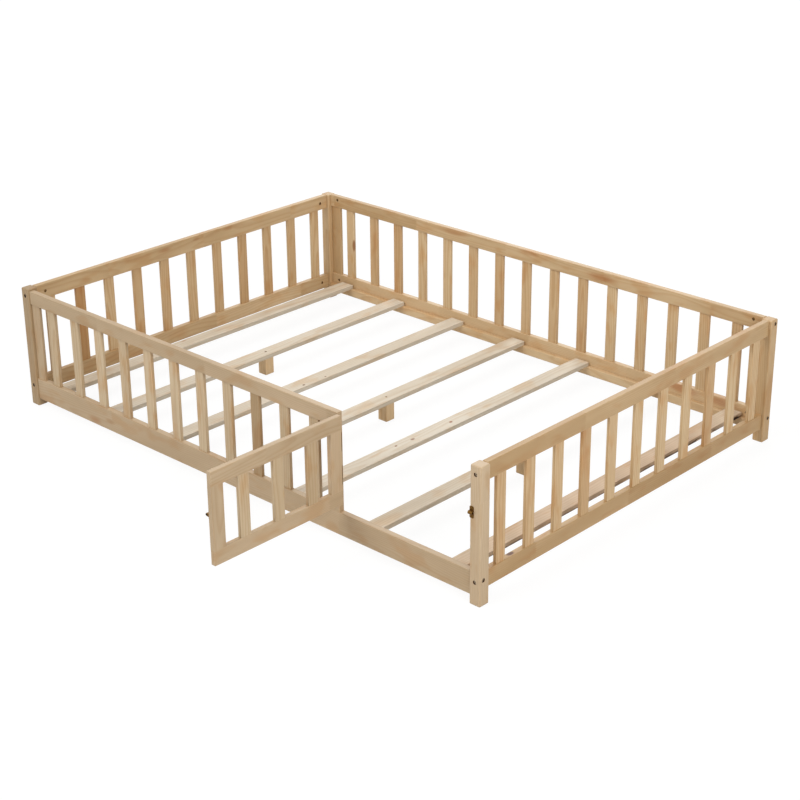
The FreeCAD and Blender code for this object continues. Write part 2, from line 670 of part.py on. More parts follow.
# ---- bolts through the posts into barrel nuts in the rails ----------------------------
def bolted(group, post_piece, rail, axis, way, where, inner):
    """A bolt from a post's outer face, running towards way, into a barrel nut in a rail.

    inner is the axis and the way that the nut is put in from, and the place of the
    rail's inner face along it."""
    side, side_way, side_place = inner
    post_piece.hole(axis, way, where, "bolt_sink", "bolt_head + 3 * seat_gap", "head_sides")
    post_piece.hole(axis, way, where, "post_side", "bolt_round + seat_gap")
    end = moved(where, axis, way, "post_side")
    rail.hole(axis, way, end, "nut_set + bolt_past + seat_gap", "bolt_round + seat_gap")
    nut = moved(end, axis, way, "nut_set")
    mouth = tuple(side_place if side == other else along for other, along in zip("xyz", nut))
    rail.hole(side, side_way, mouth, "board / 2 + nut_long / 2 + seat_gap",
              "nut_round + seat_gap")
    long = number("post_side - bolt_sink + nut_set + bolt_past")
    keep("bolts_" + group, bolt_shape(long), moved(where, axis, way, "bolt_sink"),
         turned(axis, way))
    lay = FreeCAD.Rotation(FreeCAD.Vector(0, 0, 1), 0 if axis == "x" else 90)
    stand = FreeCAD.Rotation(FreeCAD.Vector(1, 0, 0), 90)
    keep("nuts_" + group, nut_shape(), nut, lay.multiply(stand))


END_X = {"left": "%s + post_side / 2" % LEFT, "right": "%s - post_side / 2" % RIGHT}
END_RAILS = {"left": (left_top, left_low), "right": (right_top, right_low)}
for side, way_in in (("left", -1), ("right", 1)):
    x = END_X[side]
    face = "(%s + board / 2)" % x if side == "left" else "(%s - board / 2)" % x
    for rail, z in zip(END_RAILS[side], (TOP_BOLT, LOW_BOLT)):
        for depth, y, way in (("front", FRONT, 1), ("back", BACK, -1)):
            bolted("end_rails", POSTS["post_%s_%s" % (depth, side)], rail, "y", way,
                   (x, y, z), ("x", way_in, face))

FRONT_Y = "(%s + board / 2)" % FRONT_FACE
BACK_Y = "(%s - board / 2)" % BACK_FACE
LONG_TOP = "(%s + top_shift)" % TOP_BOLT
LONG_LOW = "(%s + low_shift)" % LOW_BOLT
FENCE_BOLT = "(%s - fence_shift)" % TOP_BOLT
long_joints = [
    ("post_front_left", front_low, 1, LEFT, FRONT_Y, LONG_LOW, -1, FRONT_IN),
    ("post_front_right", front_low, -1, RIGHT, FRONT_Y, LONG_LOW, -1, FRONT_IN),
    ("post_front_left", fence_top, 1, LEFT, FRONT_Y, FENCE_BOLT, -1, FRONT_IN),
    ("post_back_left", back_low, 1, LEFT, BACK_Y, LONG_LOW, 1, BACK_IN),
    ("post_back_right", back_low, -1, RIGHT, BACK_Y, LONG_LOW, 1, BACK_IN),
    ("post_back_left", back_top, 1, LEFT, BACK_Y, LONG_TOP, 1, BACK_IN),
    ("post_back_right", back_top, -1, RIGHT, BACK_Y, LONG_TOP, 1, BACK_IN),
]
for label, rail, way, x, y, z, way_in, face in long_joints:
    bolted("long_rails", POSTS[label], rail, "x", way, (x, y, z), ("y", way_in, face))

# ---- screws: up through the ledger strips into the slats, down through them into the legs
for index, slat in SLATS.items():
    middle = "(%s + slat_%d)" % (LEFT, index)
    for strip, y in (("ledger_front", "%s + (ledger_thick + slat_end_gap) / 2" % FRONT_IN),
                     ("ledger_back", "%s - (ledger_thick + slat_end_gap) / 2" % BACK_IN)):
        wood_screws("slat_screws", ledgers[strip], slat, "z", 1, [(middle, y, "ledger_low")],
                    "ledger_deep", "slat_screw_long")
for label, index in (("leg_left", 2), ("leg_middle", 4), ("leg_right", 6)):
    middle = "(%s + slat_%d)" % (LEFT, index)
    wood_screws("leg_screws", SLATS[index], LEGS[label], "z", -1,
                [("%s - leg_side / 4" % middle, "0", SLAT_TOP),
                 ("%s + leg_side / 4" % middle, "0", SLAT_TOP)], "slat_thick",
                "leg_screw_long")

# ---- hinges --------------------------------------------------------------------------
HINGE_LOW = "(%s + hinge_rise)" % DOOR_LOW_TOP
KNUCKLE = "((hinge_tall - 2 * hinge_clear) / 3)"
MID_LOW = "(%s + %s + hinge_clear)" % (HINGE_LOW, KNUCKLE)
MID_HIGH = "(%s + %s)" % (MID_LOW, KNUCKLE)
HINGE_TOP = "(%s + hinge_tall)" % HINGE_LOW
LEAF_START = "(%s + knuckle_round + hinge_clear)" % PIN_Y
LEAF_END = "(%s + leaf_deep)" % PIN_Y


def leaves(label, low_x, spans, on_door):
    """The two leaves on one side of the door's hinges, with their knuckles."""
    high_x = "(%s + leaf_thick)" % low_x
    piece = Piece(label, (low_x, PIN_Y, HINGE_LOW), on_door)
    features = [piece.add("z", HINGE_LOW, HINGE_TOP,
                          box_outline((low_x, LEAF_START), (high_x, LEAF_END)))]
    for low, high in spans:
        features.append(piece.add("z", low, high, box_outline(
            (low_x, PIN_Y), (high_x, "%s + leaf_thick" % LEAF_START))))
        features.append(piece.add("z", low, high, round_outline(
            [(PIN_X, PIN_Y)], "knuckle_round")))
    features.append(piece.cut("z", HINGE_LOW, 1, "hinge_tall", round_outline(
        [(PIN_X, PIN_Y)], "pin_round + run_gap")))
    piece.repeat(features, "z", "2", "hinge_pitch")
    return piece


frame_leaves = leaves("hinge_frame_leaves", FENCE_END,
                      [(HINGE_LOW, "%s - hinge_clear" % MID_LOW),
                       ("%s + hinge_clear" % MID_HIGH, HINGE_TOP)], False)
door_leaves = leaves("hinge_door_leaves", "(%s - leaf_thick)" % DOOR_NEAR,
                     [(MID_LOW, MID_HIGH)], True)
pins = Piece("hinge_pins", (PIN_X, PIN_Y, HINGE_LOW))
pin = pins.add("z", HINGE_LOW, HINGE_TOP, round_outline([(PIN_X, PIN_Y)], "pin_round"))
pins.repeat([pin], "z", "2", "hinge_pitch")

LEAF_SCREW_Y = "(%s + %s) / 2" % (LEAF_START, LEAF_END)
for leaf, wood, way, x, on_door, label in (
        (frame_leaves, FENCE["fence_stile_door"], -1, "%s + leaf_thick" % FENCE_END, False,
         "hinge_frame_screws"),
        (door_leaves, DOOR["door_hinge_stile"], 1, "%s - leaf_thick" % DOOR_NEAR, True,
         "hinge_door_screws")):
    places = []
    for z in (HINGE_LOW, "%s + hinge_pitch" % HINGE_LOW):
        for share in (1, 3):
            places.append((x, LEAF_SCREW_Y, "%s + hinge_tall * %d / 4" % (z, share)))
    small_screws(label, leaf, wood, "x", way, places, "leaf_thick", True, on_door)

# ---- the latch: a sliding bolt on the door and its keeper on the post -----------------
LATCH_END = "(%s - latch_back)" % DOOR_FAR
LATCH_START = "(%s - latch_long)" % LATCH_END
PLATE_Y = "(%s - plate_thick)" % FRONT_FACE
latch = Piece("latch_plate", (LATCH_START, PLATE_Y, "latch_rise"), True)
latch.add("y", PLATE_Y, FRONT_FACE, box_outline(
    (LATCH_START, "latch_rise - latch_tall / 2"), (LATCH_END, "latch_rise + latch_tall / 2")))
latch.add("x", LATCH_START, LATCH_END, box_outline(
    (ROD_Y, "latch_rise - barrel_round"), (PLATE_Y, "latch_rise + barrel_round")))
latch.add("x", LATCH_START, LATCH_END, round_outline([(ROD_Y, "latch_rise")], "barrel_round"))
latch.cut("x", LATCH_START, 1, "latch_long", round_outline(
    [(ROD_Y, "latch_rise")], "rod_round + run_gap"))
STEM_X = "(%s + (latch_long - rod_travel) / 2)" % LATCH_START
SLOT = "(stem_round + 3 * seat_gap)"
latch.cut("y", "%s - barrel_round" % ROD_Y, 1, "barrel_round", box_outline(
    ("%s - %s" % (STEM_X, SLOT), "latch_rise - %s" % SLOT),
    ("%s + rod_travel + %s" % (STEM_X, SLOT), "latch_rise + %s" % SLOT)))

rod = Piece("latch_rod", (LATCH_START, ROD_Y, "latch_rise"), True)
rod.add("x", LATCH_START, DOOR_FAR, round_outline([(ROD_Y, "latch_rise")], "rod_round"))
rod.add("y", "%s - knob_reach" % ROD_Y, ROD_Y,
        round_outline([(STEM_X, "latch_rise")], "stem_round"))
rod.add("y", "%s - knob_reach" % ROD_Y, "%s - knob_reach + knob_round" % ROD_Y,
        round_outline([(STEM_X, "latch_rise")], "knob_round"))

KEEP_Y = "(%s - plate_thick)" % FRONT
KEEP_HALF = "(rod_round + keeper_gap + 2 * plate_thick)"
keeper = Piece("latch_keeper", (IN_RIGHT, KEEP_Y, "latch_rise"))
keeper.add("y", KEEP_Y, FRONT, box_outline(
    (IN_RIGHT, "latch_rise - keeper_tall / 2"),
    ("%s + keeper_wide" % IN_RIGHT, "latch_rise + keeper_tall / 2")))
keeper.add("y", "%s - rod_round - keeper_gap - 2 * plate_thick" % ROD_Y, KEEP_Y,
           box_outline((IN_RIGHT, "latch_rise - %s" % KEEP_HALF),
                       ("%s + keeper_wide" % IN_RIGHT, "latch_rise + %s" % KEEP_HALF)))
keeper.cut("x", IN_RIGHT, 1, "keeper_wide", round_outline(
    [(ROD_Y, "latch_rise")], "rod_round + keeper_gap"))

for z_way in (-1, 1):
    z = "latch_rise %s (latch_tall / 2 - 4)" % ("+" if z_way > 0 else "-")
    small_screws("latch_screws", latch, DOOR["door_free_stile"], "y", 1,
                 [("%s + 5" % LATCH_START, PLATE_Y, z), ("%s - 5" % LATCH_END, PLATE_Y, z)],
                 "plate_thick", on_door=True)
KEEP_X = "%s + keeper_wide / 2" % IN_RIGHT
small_screws("keeper_screws", keeper, POSTS["post_front_right"], "y", 1,
             [(KEEP_X, KEEP_Y, "latch_rise - keeper_tall / 2 + 4.5"),
              (KEEP_X, KEEP_Y, "latch_rise + keeper_tall / 2 - 4.5")], "plate_thick")

# ---- groups of equal fasteners --------------------------------------------------------
for label, copies in GROUPS.items():
    group = doc.addObject("Part::Feature", label)
    group.Label = label
    group.Shape = Part.makeCompound(copies)
    PIECES[label] = group
doc.recompute()

# ---- checks and files -----------------------------------------------------------------
for thing in doc.Objects:
    if "Invalid" in thing.State or "Error" in thing.State:
        raise ValueError("%s did not build: %s" % (thing.Label, thing.State))
os.makedirs("parts", exist_ok=True)
for label, thing in PIECES.items():
    if thing.Shape.isNull() or not thing.Shape.isValid():
        raise ValueError("%s has no valid shape" % label)
for label, thing in PIECES.items():
    thing.Shape.exportStep("parts/%s.step" % label)
print("%d pieces written" % len(PIECES))
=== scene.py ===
"""Looks of a low floor bed for a toddler: pale pine boards, sunk frame bolts and a small
plated latch and hinges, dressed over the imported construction. Lengths are in metres."""
import logging
import math
import random
from dataclasses import dataclass, field
from enum import Enum
from typing import Iterable, Optional, Sequence, Union

import bmesh
import bpy
from bpy.types import Material, NodeSocket, NodeTree, Object
from mathutils import Matrix, Vector


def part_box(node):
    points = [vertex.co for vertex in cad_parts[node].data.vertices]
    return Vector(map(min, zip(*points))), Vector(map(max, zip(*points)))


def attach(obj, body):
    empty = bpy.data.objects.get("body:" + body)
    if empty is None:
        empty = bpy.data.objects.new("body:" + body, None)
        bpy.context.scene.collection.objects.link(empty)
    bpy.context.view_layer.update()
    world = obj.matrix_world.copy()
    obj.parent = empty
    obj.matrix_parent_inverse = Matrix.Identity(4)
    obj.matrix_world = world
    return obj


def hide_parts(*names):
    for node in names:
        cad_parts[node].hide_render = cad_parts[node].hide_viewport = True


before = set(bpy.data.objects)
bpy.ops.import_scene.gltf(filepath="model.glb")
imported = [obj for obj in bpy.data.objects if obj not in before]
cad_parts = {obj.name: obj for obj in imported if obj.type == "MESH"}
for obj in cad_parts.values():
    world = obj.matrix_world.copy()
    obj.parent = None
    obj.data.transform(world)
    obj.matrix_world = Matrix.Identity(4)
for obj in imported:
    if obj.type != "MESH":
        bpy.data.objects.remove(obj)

LOG = logging.getLogger("floor_bed")
MM = 0.001
TENON = 12 * MM          # length of an upright's tenon, which its CAD box includes
TUCK = 2 * MM            # how far a dressed upright runs into its rails
NEAR = 0.01 * MM         # points nearer than this become one
BOARD_EDGE = 60.0        # degrees by which an edge turns that is rounded, on a board
METAL_EDGE = 50.0        # and on a metal piece

LEFT, RIGHT = Vector((-1, 0, 0)), Vector((1, 0, 0))
FRONT, BACK = Vector((0, -1, 0)), Vector((0, 1, 0))
DOWN, UP = Vector((0, 0, -1)), Vector((0, 0, 1))

# type names of nodes, with an operation after the space where they have one
MATH, VECTOR = "ShaderNodeMath ", "ShaderNodeVectorMath "
PLUS, MINUS, TIMES, TIMES_PLUS = (
    MATH + name for name in ("ADD", "SUBTRACT", "MULTIPLY", "MULTIPLY_ADD"))
RANGE, MIX, NOISE = "ShaderNodeMapRange", "ShaderNodeMix", "ShaderNodeTexNoise"
SPLIT, GATHER, BUMP = "ShaderNodeSeparateXYZ", "ShaderNodeCombineXYZ", "ShaderNodeBump"
PRINCIPLED, SURFACE = "ShaderNodeBsdfPrincipled", "ShaderNodeOutputMaterial"
READ, STORE = "ShaderNodeAttribute", "GeometryNodeStoreNamedAttribute"
EASED = {"interpolation_type": "SMOOTHSTEP"}
POINTS = {"data_type": "FLOAT_VECTOR", "domain": "POINT"}

Triple = tuple[float, float, float]
Value = Union[float, int, bool, str, Sequence[float], NodeSocket]
Line = tuple[Vector, Vector]        # a point and the way from it


class Axis(Enum):
    """The axis that a board's grain, a row of bars or a joint's bolt runs along."""
    X = 0
    Y = 1
    Z = 2


class Drive(Enum):
    """The recess in a fastener's head."""
    HEXAGON = "hexagon"
    CROSS = "cross"
    SLOT = "slot"


class Batch(Enum):
    """The timber that a piece is cut from."""
    PALE = "pale"
    WARM = "warm"
    BARS = "bars"
    PALE_BARS = "pale bars"
    RAW = "raw"


# ---- small tools -----------------------------------------------------------------------
def linear(hex_colour: str) -> tuple[float, float, float, float]:
    """Turns an sRGB hex colour to linear light.

    Args:
        hex_colour: six hexadecimal digits after a #.

    Returns:
        Red, green, blue and an alpha of 1.
    """
    parts = [int(hex_colour[k:k + 2], 16) / 255 for k in (1, 3, 5)]
    light = [c / 12.92 if c <= 0.04045 else ((c + 0.055) / 1.055) ** 2.4 for c in parts]
    return (light[0], light[1], light[2], 1.0)


class Wiring:
    """A node tree that is drawn up node by node."""

    def __init__(self, tree: NodeTree) -> None:
        """Empties the tree."""
        self.tree = tree
        tree.nodes.clear()

    def add(self, kind: str, inputs: Union[dict, Sequence] = (), out: Union[int, str] = 0,
            **settings: Value) -> NodeSocket:
        """Adds a node with its settings and links.

        Args:
            kind: the node's type name, and after a space its operation.
            inputs: a value, or the socket that feeds it, by an input's name or number, or
                for the first inputs in their order.
            out: name or number of the output to go on from.
            settings: the node's own properties.

        Returns:
            The output.
        """
        name, _space, operation = kind.partition(" ")
        node = self.tree.nodes.new(name)
        if operation:
            node.operation = operation
        for key, value in settings.items():
            setattr(node, key, value)
        for key, value in inputs.items() if isinstance(inputs, dict) else enumerate(inputs):
            if isinstance(value, NodeSocket):
                self.tree.links.new(value, node.inputs[key])
            else:
                node.inputs[key].default_value = value
        return node.outputs[out]

    def end(self, kind: str, last: NodeSocket) -> None:
        """Leads a socket to the tree's output node."""
        self.tree.links.new(last, self.tree.nodes.new(kind).inputs[0])


def mm(x: float, y: float, z: float) -> Vector:
    """A point given in millimetres."""
    return Vector((x, y, z)) * MM


def new_object(name: str, data: bpy.types.ID) -> Object:
    """Links a new object to the scene, at the origin.

    Args:
        name: its name.
        data: its mesh, camera or light.

    Returns:
        The object.
    """
    thing = bpy.data.objects.new(name, data)
    bpy.context.scene.collection.objects.link(thing)
    return thing


def from_shape(name: str, shape: bmesh.types.BMesh) -> Object:
    """Turns a shape into an object and frees it.

    Args:
        name: the object's name.
        shape: the shape.

    Returns:
        The object.
    """
    mesh = bpy.data.meshes.new(name)
    shape.to_mesh(mesh)
    shape.free()
    return new_object(name, mesh)


def apply(thing: Object, kind: str, inputs: Optional[dict[str, Value]] = None,
          **settings: Value) -> None:
    """Puts one modifier on an object and makes the result its plain mesh.

    Args:
        thing: the object.
        kind: the modifier's type.
        inputs: values of a node tree's inputs, by identifier.
        settings: the modifier's properties.
    """
    modifier = thing.modifiers.new(kind, kind)
    for key, value in settings.items():
        setattr(modifier, key, value)
    for key, value in (inputs or {}).items():
        modifier[key] = value
    graph = bpy.context.evaluated_depsgraph_get()
    mesh = bpy.data.meshes.new_from_object(
        thing.evaluated_get(graph), preserve_all_data_layers=True, depsgraph=graph)
    thing.modifiers.clear()
    thing.data = mesh


def clean(thing: Object, reach: float = NEAR) -> None:
    """Merges points that nearly meet and drops the slivers between them.

    Args:
        thing: the piece.
        reach: largest distance between points that become one.
    """
    shape = bmesh.new()
    shape.from_mesh(thing.data)
    bmesh.ops.remove_doubles(shape, verts=shape.verts[:], dist=reach)
    bmesh.ops.dissolve_degenerate(shape, edges=shape.edges[:], dist=reach)
    shape.to_mesh(thing.data)
    shape.free()


def smooth(thing: Object) -> None:
    """Shades a piece smooth, with its large flats kept flat."""
    thing.data.shade_smooth()
    apply(thing, "WEIGHTED_NORMAL", weight=100, keep_sharp=True)


def combine(thing: Object, others: Iterable[Object], operation: str = "DIFFERENCE") -> None:
    """Cuts closed meshes out of a piece or adds them to its skin, and removes them.

    Args:
        thing: the piece.
        others: the closed meshes.
        operation: DIFFERENCE to cut or UNION to add.
    """
    for other in others:
        apply(thing, "BOOLEAN", operation=operation, solver="EXACT", object=other)
        bpy.data.objects.remove(other)
    clean(thing)


def round_edges(thing: Object, width: float, above: float, segments: int = 3) -> None:
    """Rounds the edges that turn by more than an angle.

    Args:
        thing: the piece.
        width: width of the rounding.
        above: smallest angle between two faces, in degrees.
        segments: strips across the rounding.
    """
    apply(thing, "BEVEL", width=width, segments=segments, limit_method="ANGLE",
          angle_limit=math.radians(above), use_clamp_overlap=True)
    clean(thing, 0.4 * NEAR)


def block(name: str, first: Vector, second: Vector) -> Object:
    """A plain rectangular blank, for shaping.

    Args:
        name: its name.
        first: one corner.
        second: the opposite corner.

    Returns:
        The blank.
    """
    low, high = (Vector(tuple(map(pick, first, second))) for pick in (min, max))
    shape = bmesh.new()
    bmesh.ops.create_cube(shape, size=1.0, matrix=Matrix.Translation((low + high) / 2)
                          @ Matrix.Diagonal((*(high - low), 1.0)))
    return from_shape(name, shape)


def plate(name: str, first: Vector, second: Vector, through: Axis, radius: float,
          towards: Optional[Vector] = None) -> Object:
    """A flat plate with rounded corners.

    Args:
        name: its name.
        first: one corner.
        second: the opposite corner.
        through: the axis along its thickness.
        radius: radius of the corners.
        towards: if given, only the corners on this side are rounded.

    Returns:
        The plate.
    """
    thing = block(name, first, second)
    shape = bmesh.new()
    shape.from_mesh(thing.data)
    middle = sum((v.co for v in shape.verts), Vector()) / len(shape.verts)
    chosen = []
    for edge in shape.edges:
        one, other = (vertex.co for vertex in edge.verts)
        upright = abs((one - other).normalized()[through.value]) > 0.9
        if upright and (towards is None or ((one + other) / 2 - middle).dot(towards) > 0):
            chosen.append(edge)
    bmesh.ops.bevel(shape, geom=chosen, offset=radius, offset_type="OFFSET", segments=6,
                    profile=0.5, affect="EDGES")
    shape.to_mesh(thing.data)
    shape.free()
    return thing


def turn_to(direction: Vector) -> Matrix:
    """The turn that lays +Z along a direction, by the shortest way."""
    return direction.to_track_quat("Z", "Y").to_matrix().to_4x4()


def drum(name: str, start: Vector, direction: Vector, depth: float, radius: float,
         sides: int = 28) -> Object:
    """A closed cylinder from a point along a direction.

    Args:
        name: name of the object.
        start: centre of its first end.
        direction: where it runs to.
        depth: its length.
        radius: its radius.
        sides: sides of its outline.

    Returns:
        The object.
    """
    shape = bmesh.new()
    aim = Matrix.Translation(start) @ turn_to(direction)
    aim @= Matrix.Translation(UP * (depth / 2))
    bmesh.ops.create_cone(shape, cap_ends=True, segments=sides, radius1=radius,
                          radius2=radius, depth=depth, matrix=aim)
    return from_shape(name, shape)


def join(name: str, things: Iterable[Object]) -> Object:
    """Puts meshes that don't meet into one object.

    Args:
        name: its name.
        things: the meshes, which are removed.

    Returns:
        The object.
    """
    shape = bmesh.new()
    for thing in things:
        shape.from_mesh(thing.data)
        bpy.data.objects.remove(thing)
    return from_shape(name, shape)


def turned(name: str, outline: Iterable[tuple[float, float]], place: Matrix) -> Object:
    """A lathe-turned shape about its own Z.

    Args:
        name: its name.
        outline: radius and height of each point, both ends on the axis.
        place: where it stands.

    Returns:
        The object.
    """
    shape = bmesh.new()
    points = [shape.verts.new((radius, 0.0, height)) for radius, height in outline]
    edges = [shape.edges.new(pair) for pair in zip(points, points[1:])]
    bmesh.ops.spin(shape, geom=points + edges, cent=(0, 0, 0), axis=UP, angle=math.tau,
                   steps=24, use_merge=True)
    bmesh.ops.remove_doubles(shape, verts=shape.verts[:], dist=NEAR)
    bmesh.ops.recalc_face_normals(shape, faces=shape.faces[:])
    shape.transform(place)
    return from_shape(name, shape)


def give(piece: Object, material: Material, body: str, slot: str, node: str) -> None:
    """Gives a piece its finish and its place in the moving model.

    Args:
        piece: the finished piece.
        material: its finish.
        body: the body that it moves with.
        slot: name of the piece's material slot; not used.
        node: the CAD node that it stands for.
    """
    piece.data.materials.clear()
    piece.data.materials.append(material)
    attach(piece, body)
    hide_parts(node)
    LOG.info("%s: %d faces, stands for %s", piece.name, len(piece.data.polygons), node)


# ---- finishes --------------------------------------------------------------------------
@dataclass(frozen=True)
class Finish:
    """What a piece is finished with."""
    name: str

    def material(self) -> Material:
        """Builds the material with its shader."""
        made = bpy.data.materials.new(self.name)
        made.use_nodes = True
        self.draw(made.node_tree)
        return made

    def draw(self, tree: NodeTree) -> None:
        """Draws up the shader."""
        raise NotImplementedError


@dataclass(frozen=True)
class Spot:
    """A knot or a stain of a fixed board."""
    place: Triple               # mm, in the bed
    reach: Triple               # mm from its middle to its edge
    colour: str                 # what it multiplies the wood by
    strength: float = 0.55
    core: float = 0.7           # 1 for a sharp knot, less for a soft stain


@dataclass(frozen=True)
class Pine(Finish):
    """Planed softwood. Growth rings cut by the faces give stripes and arches, and glued-up
    lengths and single bars differ in depth of colour.

    It reads attributes of the mesh: grain, the place in the board in metres with X along
    the grain, tone, 0 for a pale to 1 for a deep board, bore, 1 deep in a drilled hole,
    side, 1 on the narrow sides, and wane, 1 at an edge where bark was."""
    pale: str
    deep: str
    ring: str                   # what a ring's dark line multiplies the wood by
    knot: str = "#6b4222"
    ring_space: float = 5.5     # mm between rings on the end grain
    ring_depth: float = 0.4     # how far a dark line goes
    length: float = 0.0         # mm between finger joints, 0 for a board in one length
    patch: float = 0.9          # how far a board's own colour wanders
    knots: float = 0.03         # share of the places where a knot may be that hold one
    rough: float = 0.52
    side_dark: float = 0.0      # how much darker the narrow sides are
    blush: float = 0.5          # how strong the orange clouds in the wood are
    spots: tuple[Spot, ...] = ()

    def draw(self, tree: NodeTree) -> None:
        """Draws up the shader."""
        PineShader(tree, self)


# waves a metre along and across the grain
FIBRES = (14.0, 900.0, 900.0)       # streaks 70 mm long and 1 mm wide
CLOUDS = (2.6, 16.0, 16.0)          # paler and deeper parts, 380 by 60 mm
BLUSHES = (9.0, 24.0, 24.0)         # orange clouds, 110 by 40 mm
SWAYS = (1.3, 7.0, 7.0)             # the pith's wavering, 770 by 140 mm
BARK_RESTS = (13.0, 110.0, 110.0)   # 77 by 9 mm
KNOT_CELLS = (6.0, 11.0, 11.0)      # a cell of 170 by 90 mm for each knot there may be


class PineShader(Wiring):
    """The shader of a pine finish: patterns, laid over the wood layer by layer."""

    def __init__(self, tree: NodeTree, pine: Pine) -> None:
        """Draws up the shader.

        Args:
            tree: the material's tree.
            pine: the finish.
        """
        super().__init__(tree)
        self.pine = pine
        add = self.add
        self.place = add(READ, out="Vector", attribute_name="grain")
        self.tone = add(READ, out="Fac", attribute_name="tone")
        if pine.length:
            self.lengths()
        self.rings = self.figure()
        self.fibre = self.noise(FIBRES, 2.0)
        self.cloud = self.noise(CLOUDS, 3.0)
        relief = add(TIMES_PLUS, (self.fibre, 0.6, add(TIMES, (self.rings, 0.4))))
        bump = add(BUMP, {"Strength": 0.22, "Distance": 0.25 * MM, "Height": relief})
        shine = add(TIMES_PLUS, (self.fibre, 0.14, pine.rough - 0.07))
        self.end(SURFACE, add(PRINCIPLED, {
            "Base Color": self.colour(), "Roughness": shine, "Normal": bump, "IOR": 1.5,
            "Specular IOR Level": 0.4}))

    def colour(self) -> NodeSocket:
        """The wood's pale colour under its layers, from its depth to its bores."""
        pine, add = self.pine, self.add
        fine, coarse = (add(MINUS, (pattern, 0.5)) for pattern in (self.fibre, self.cloud))
        side, bore = (add(READ, out="Fac", attribute_name=name) for name in ("side", "bore"))
        level = add(TIMES, (add(TIMES_PLUS, (fine, 0.2, 1.0)),
                            add(TIMES_PLUS, (side, -pine.side_dark, 1.0))))
        ragged = add(TIMES_PLUS, (fine, 0.8, self.cloud))
        blush = add(RANGE, (self.noise(BLUSHES, 2.0), 0.5, 0.68, 0.0, pine.blush), **EASED)
        layers = [
            (add(TIMES_PLUS, (coarse, pine.patch, self.tone)), linear(pine.deep), "MIX"),
            (add(TIMES, (self.rings, pine.ring_depth)), linear(pine.ring), "MULTIPLY"),
            (blush, linear("#f0cfa2"), "MULTIPLY"),
            (1.0, level, "MULTIPLY"),
            (self.knots(), linear(pine.knot), "MIX"),
            (self.bark(), linear("#54422f"), "MIX"),
            *((self.spot(spot, ragged), linear(spot.colour), "MULTIPLY")
              for spot in pine.spots),
            # painted shade in drilled holes, recesses and countersinks, over the darker end
            # grain of their walls
            (bore, linear("#644426"), "MULTIPLY")]
        wood = linear(pine.pale)
        for share, colour, blend in layers:
            wood = add(MIX, {"Factor": share, "A": wood, "B": colour}, "Result",
                       data_type="RGBA", blend_type=blend)
        return wood

    def noise(self, waves: Triple, detail: float) -> NodeSocket:
        """A pattern with its own number of waves a metre along each axis of the board."""
        spaced = self.add(VECTOR + "MULTIPLY", (self.place, waves))
        return self.add(NOISE, {"Vector": spaced, "Scale": 1.0, "Detail": detail})

    def lengths(self) -> None:
        """Gives each glued-up length its own tone and its own shift of the pattern."""
        add = self.add
        x, y, z = add(SPLIT, (self.place,)).node.outputs
        # fingers 9 mm long and 7 mm wide, as a zigzag line across the board
        teeth = add(MATH + "PINGPONG", (add(PLUS, (y, z)), 3.5 * MM))
        along = add(TIMES_PLUS, (teeth, 9 / 3.5, x))
        count = add(TIMES_PLUS, (along, 1 / (self.pine.length * MM),
                                 add(TIMES, (self.tone, 23.0))))
        chance = add("ShaderNodeTexWhiteNoise", {"W": add(MATH + "FLOOR", (count,))},
                     noise_dimensions="1D").node.outputs
        shift = add(VECTOR + "MULTIPLY", (chance["Color"], (0.5, 0.03, 0.05)))
        self.place = add(VECTOR + "ADD", (self.place, shift))
        self.tone = add(TIMES_PLUS, (add(MINUS, (chance["Value"], 0.5)), 0.45, self.tone))

    def figure(self) -> NodeSocket:
        """Growth rings round a wavering pith, 0 in pale wood to 1 on a ring's dark line."""
        add = self.add
        _x, y, z = add(SPLIT, (self.place,)).node.outputs
        square = add(TIMES_PLUS, (y, y, add(TIMES, (z, z))))
        radius = add(TIMES_PLUS, (self.noise(SWAYS, 2.0), 55 * MM,
                                  add(MATH + "SQRT", (square,))))
        count = add(TIMES, (radius, 1 / (self.pine.ring_space * MM)))
        ring = add(MATH + "FRACT", (count,))
        # a ring darkens slowly and ends sharply
        return add(TIMES, (add(RANGE, (ring, 0.35, 0.86), **EASED),
                           add(RANGE, (ring, 0.9, 1.0, 1.0, 0.0))))

    def knots(self) -> NodeSocket:
        """Round knots 5 to 9 mm wide in a few of their cells."""
        add = self.add
        cells = add("ShaderNodeTexVoronoi", {
            "Vector": add(VECTOR + "MULTIPLY", (self.place, KNOT_CELLS)), "Scale": 1.0,
            "Randomness": 1.0}).node.outputs
        chance = add("ShaderNodeSeparateColor", (cells["Color"],))
        near = add(RANGE, (cells["Distance"], 0.035, 0.075, 0.85, 0.0), **EASED)
        return add(TIMES, (near, add(MATH + "LESS_THAN", (chance, self.pine.knots))))

    def bark(self) -> NodeSocket:
        """Ragged dark patches 30 to 90 mm long that thin out away from a waney edge."""
        wane = self.add(READ, out="Fac", attribute_name="wane")
        reach = self.add(TIMES_PLUS, (self.noise(BARK_RESTS, 4.0), 2.4, wane))
        return self.add(RANGE, (reach, 1.95, 2.15, 0.0, 0.9), **EASED)

    def spot(self, spot: Spot, ragged: NodeSocket) -> NodeSocket:
        """How strong a fixed knot or stain is.

        Args:
            spot: the knot or stain.
            ragged: what makes its edge uneven.

        Returns:
            Its strength, fading to 0 at its edge.
        """
        add = self.add
        where = add("ShaderNodeTexCoord", out="Object")
        away = add(VECTOR + "SUBTRACT", (where, [c * MM for c in spot.place]))
        share = add(VECTOR + "DIVIDE", (away, [c * MM for c in spot.reach]))
        edge = add(PLUS, (add(VECTOR + "LENGTH", (share,), "Value"), ragged))
        return add(RANGE, (edge, spot.core, 1.55, spot.strength, 0.0), **EASED)


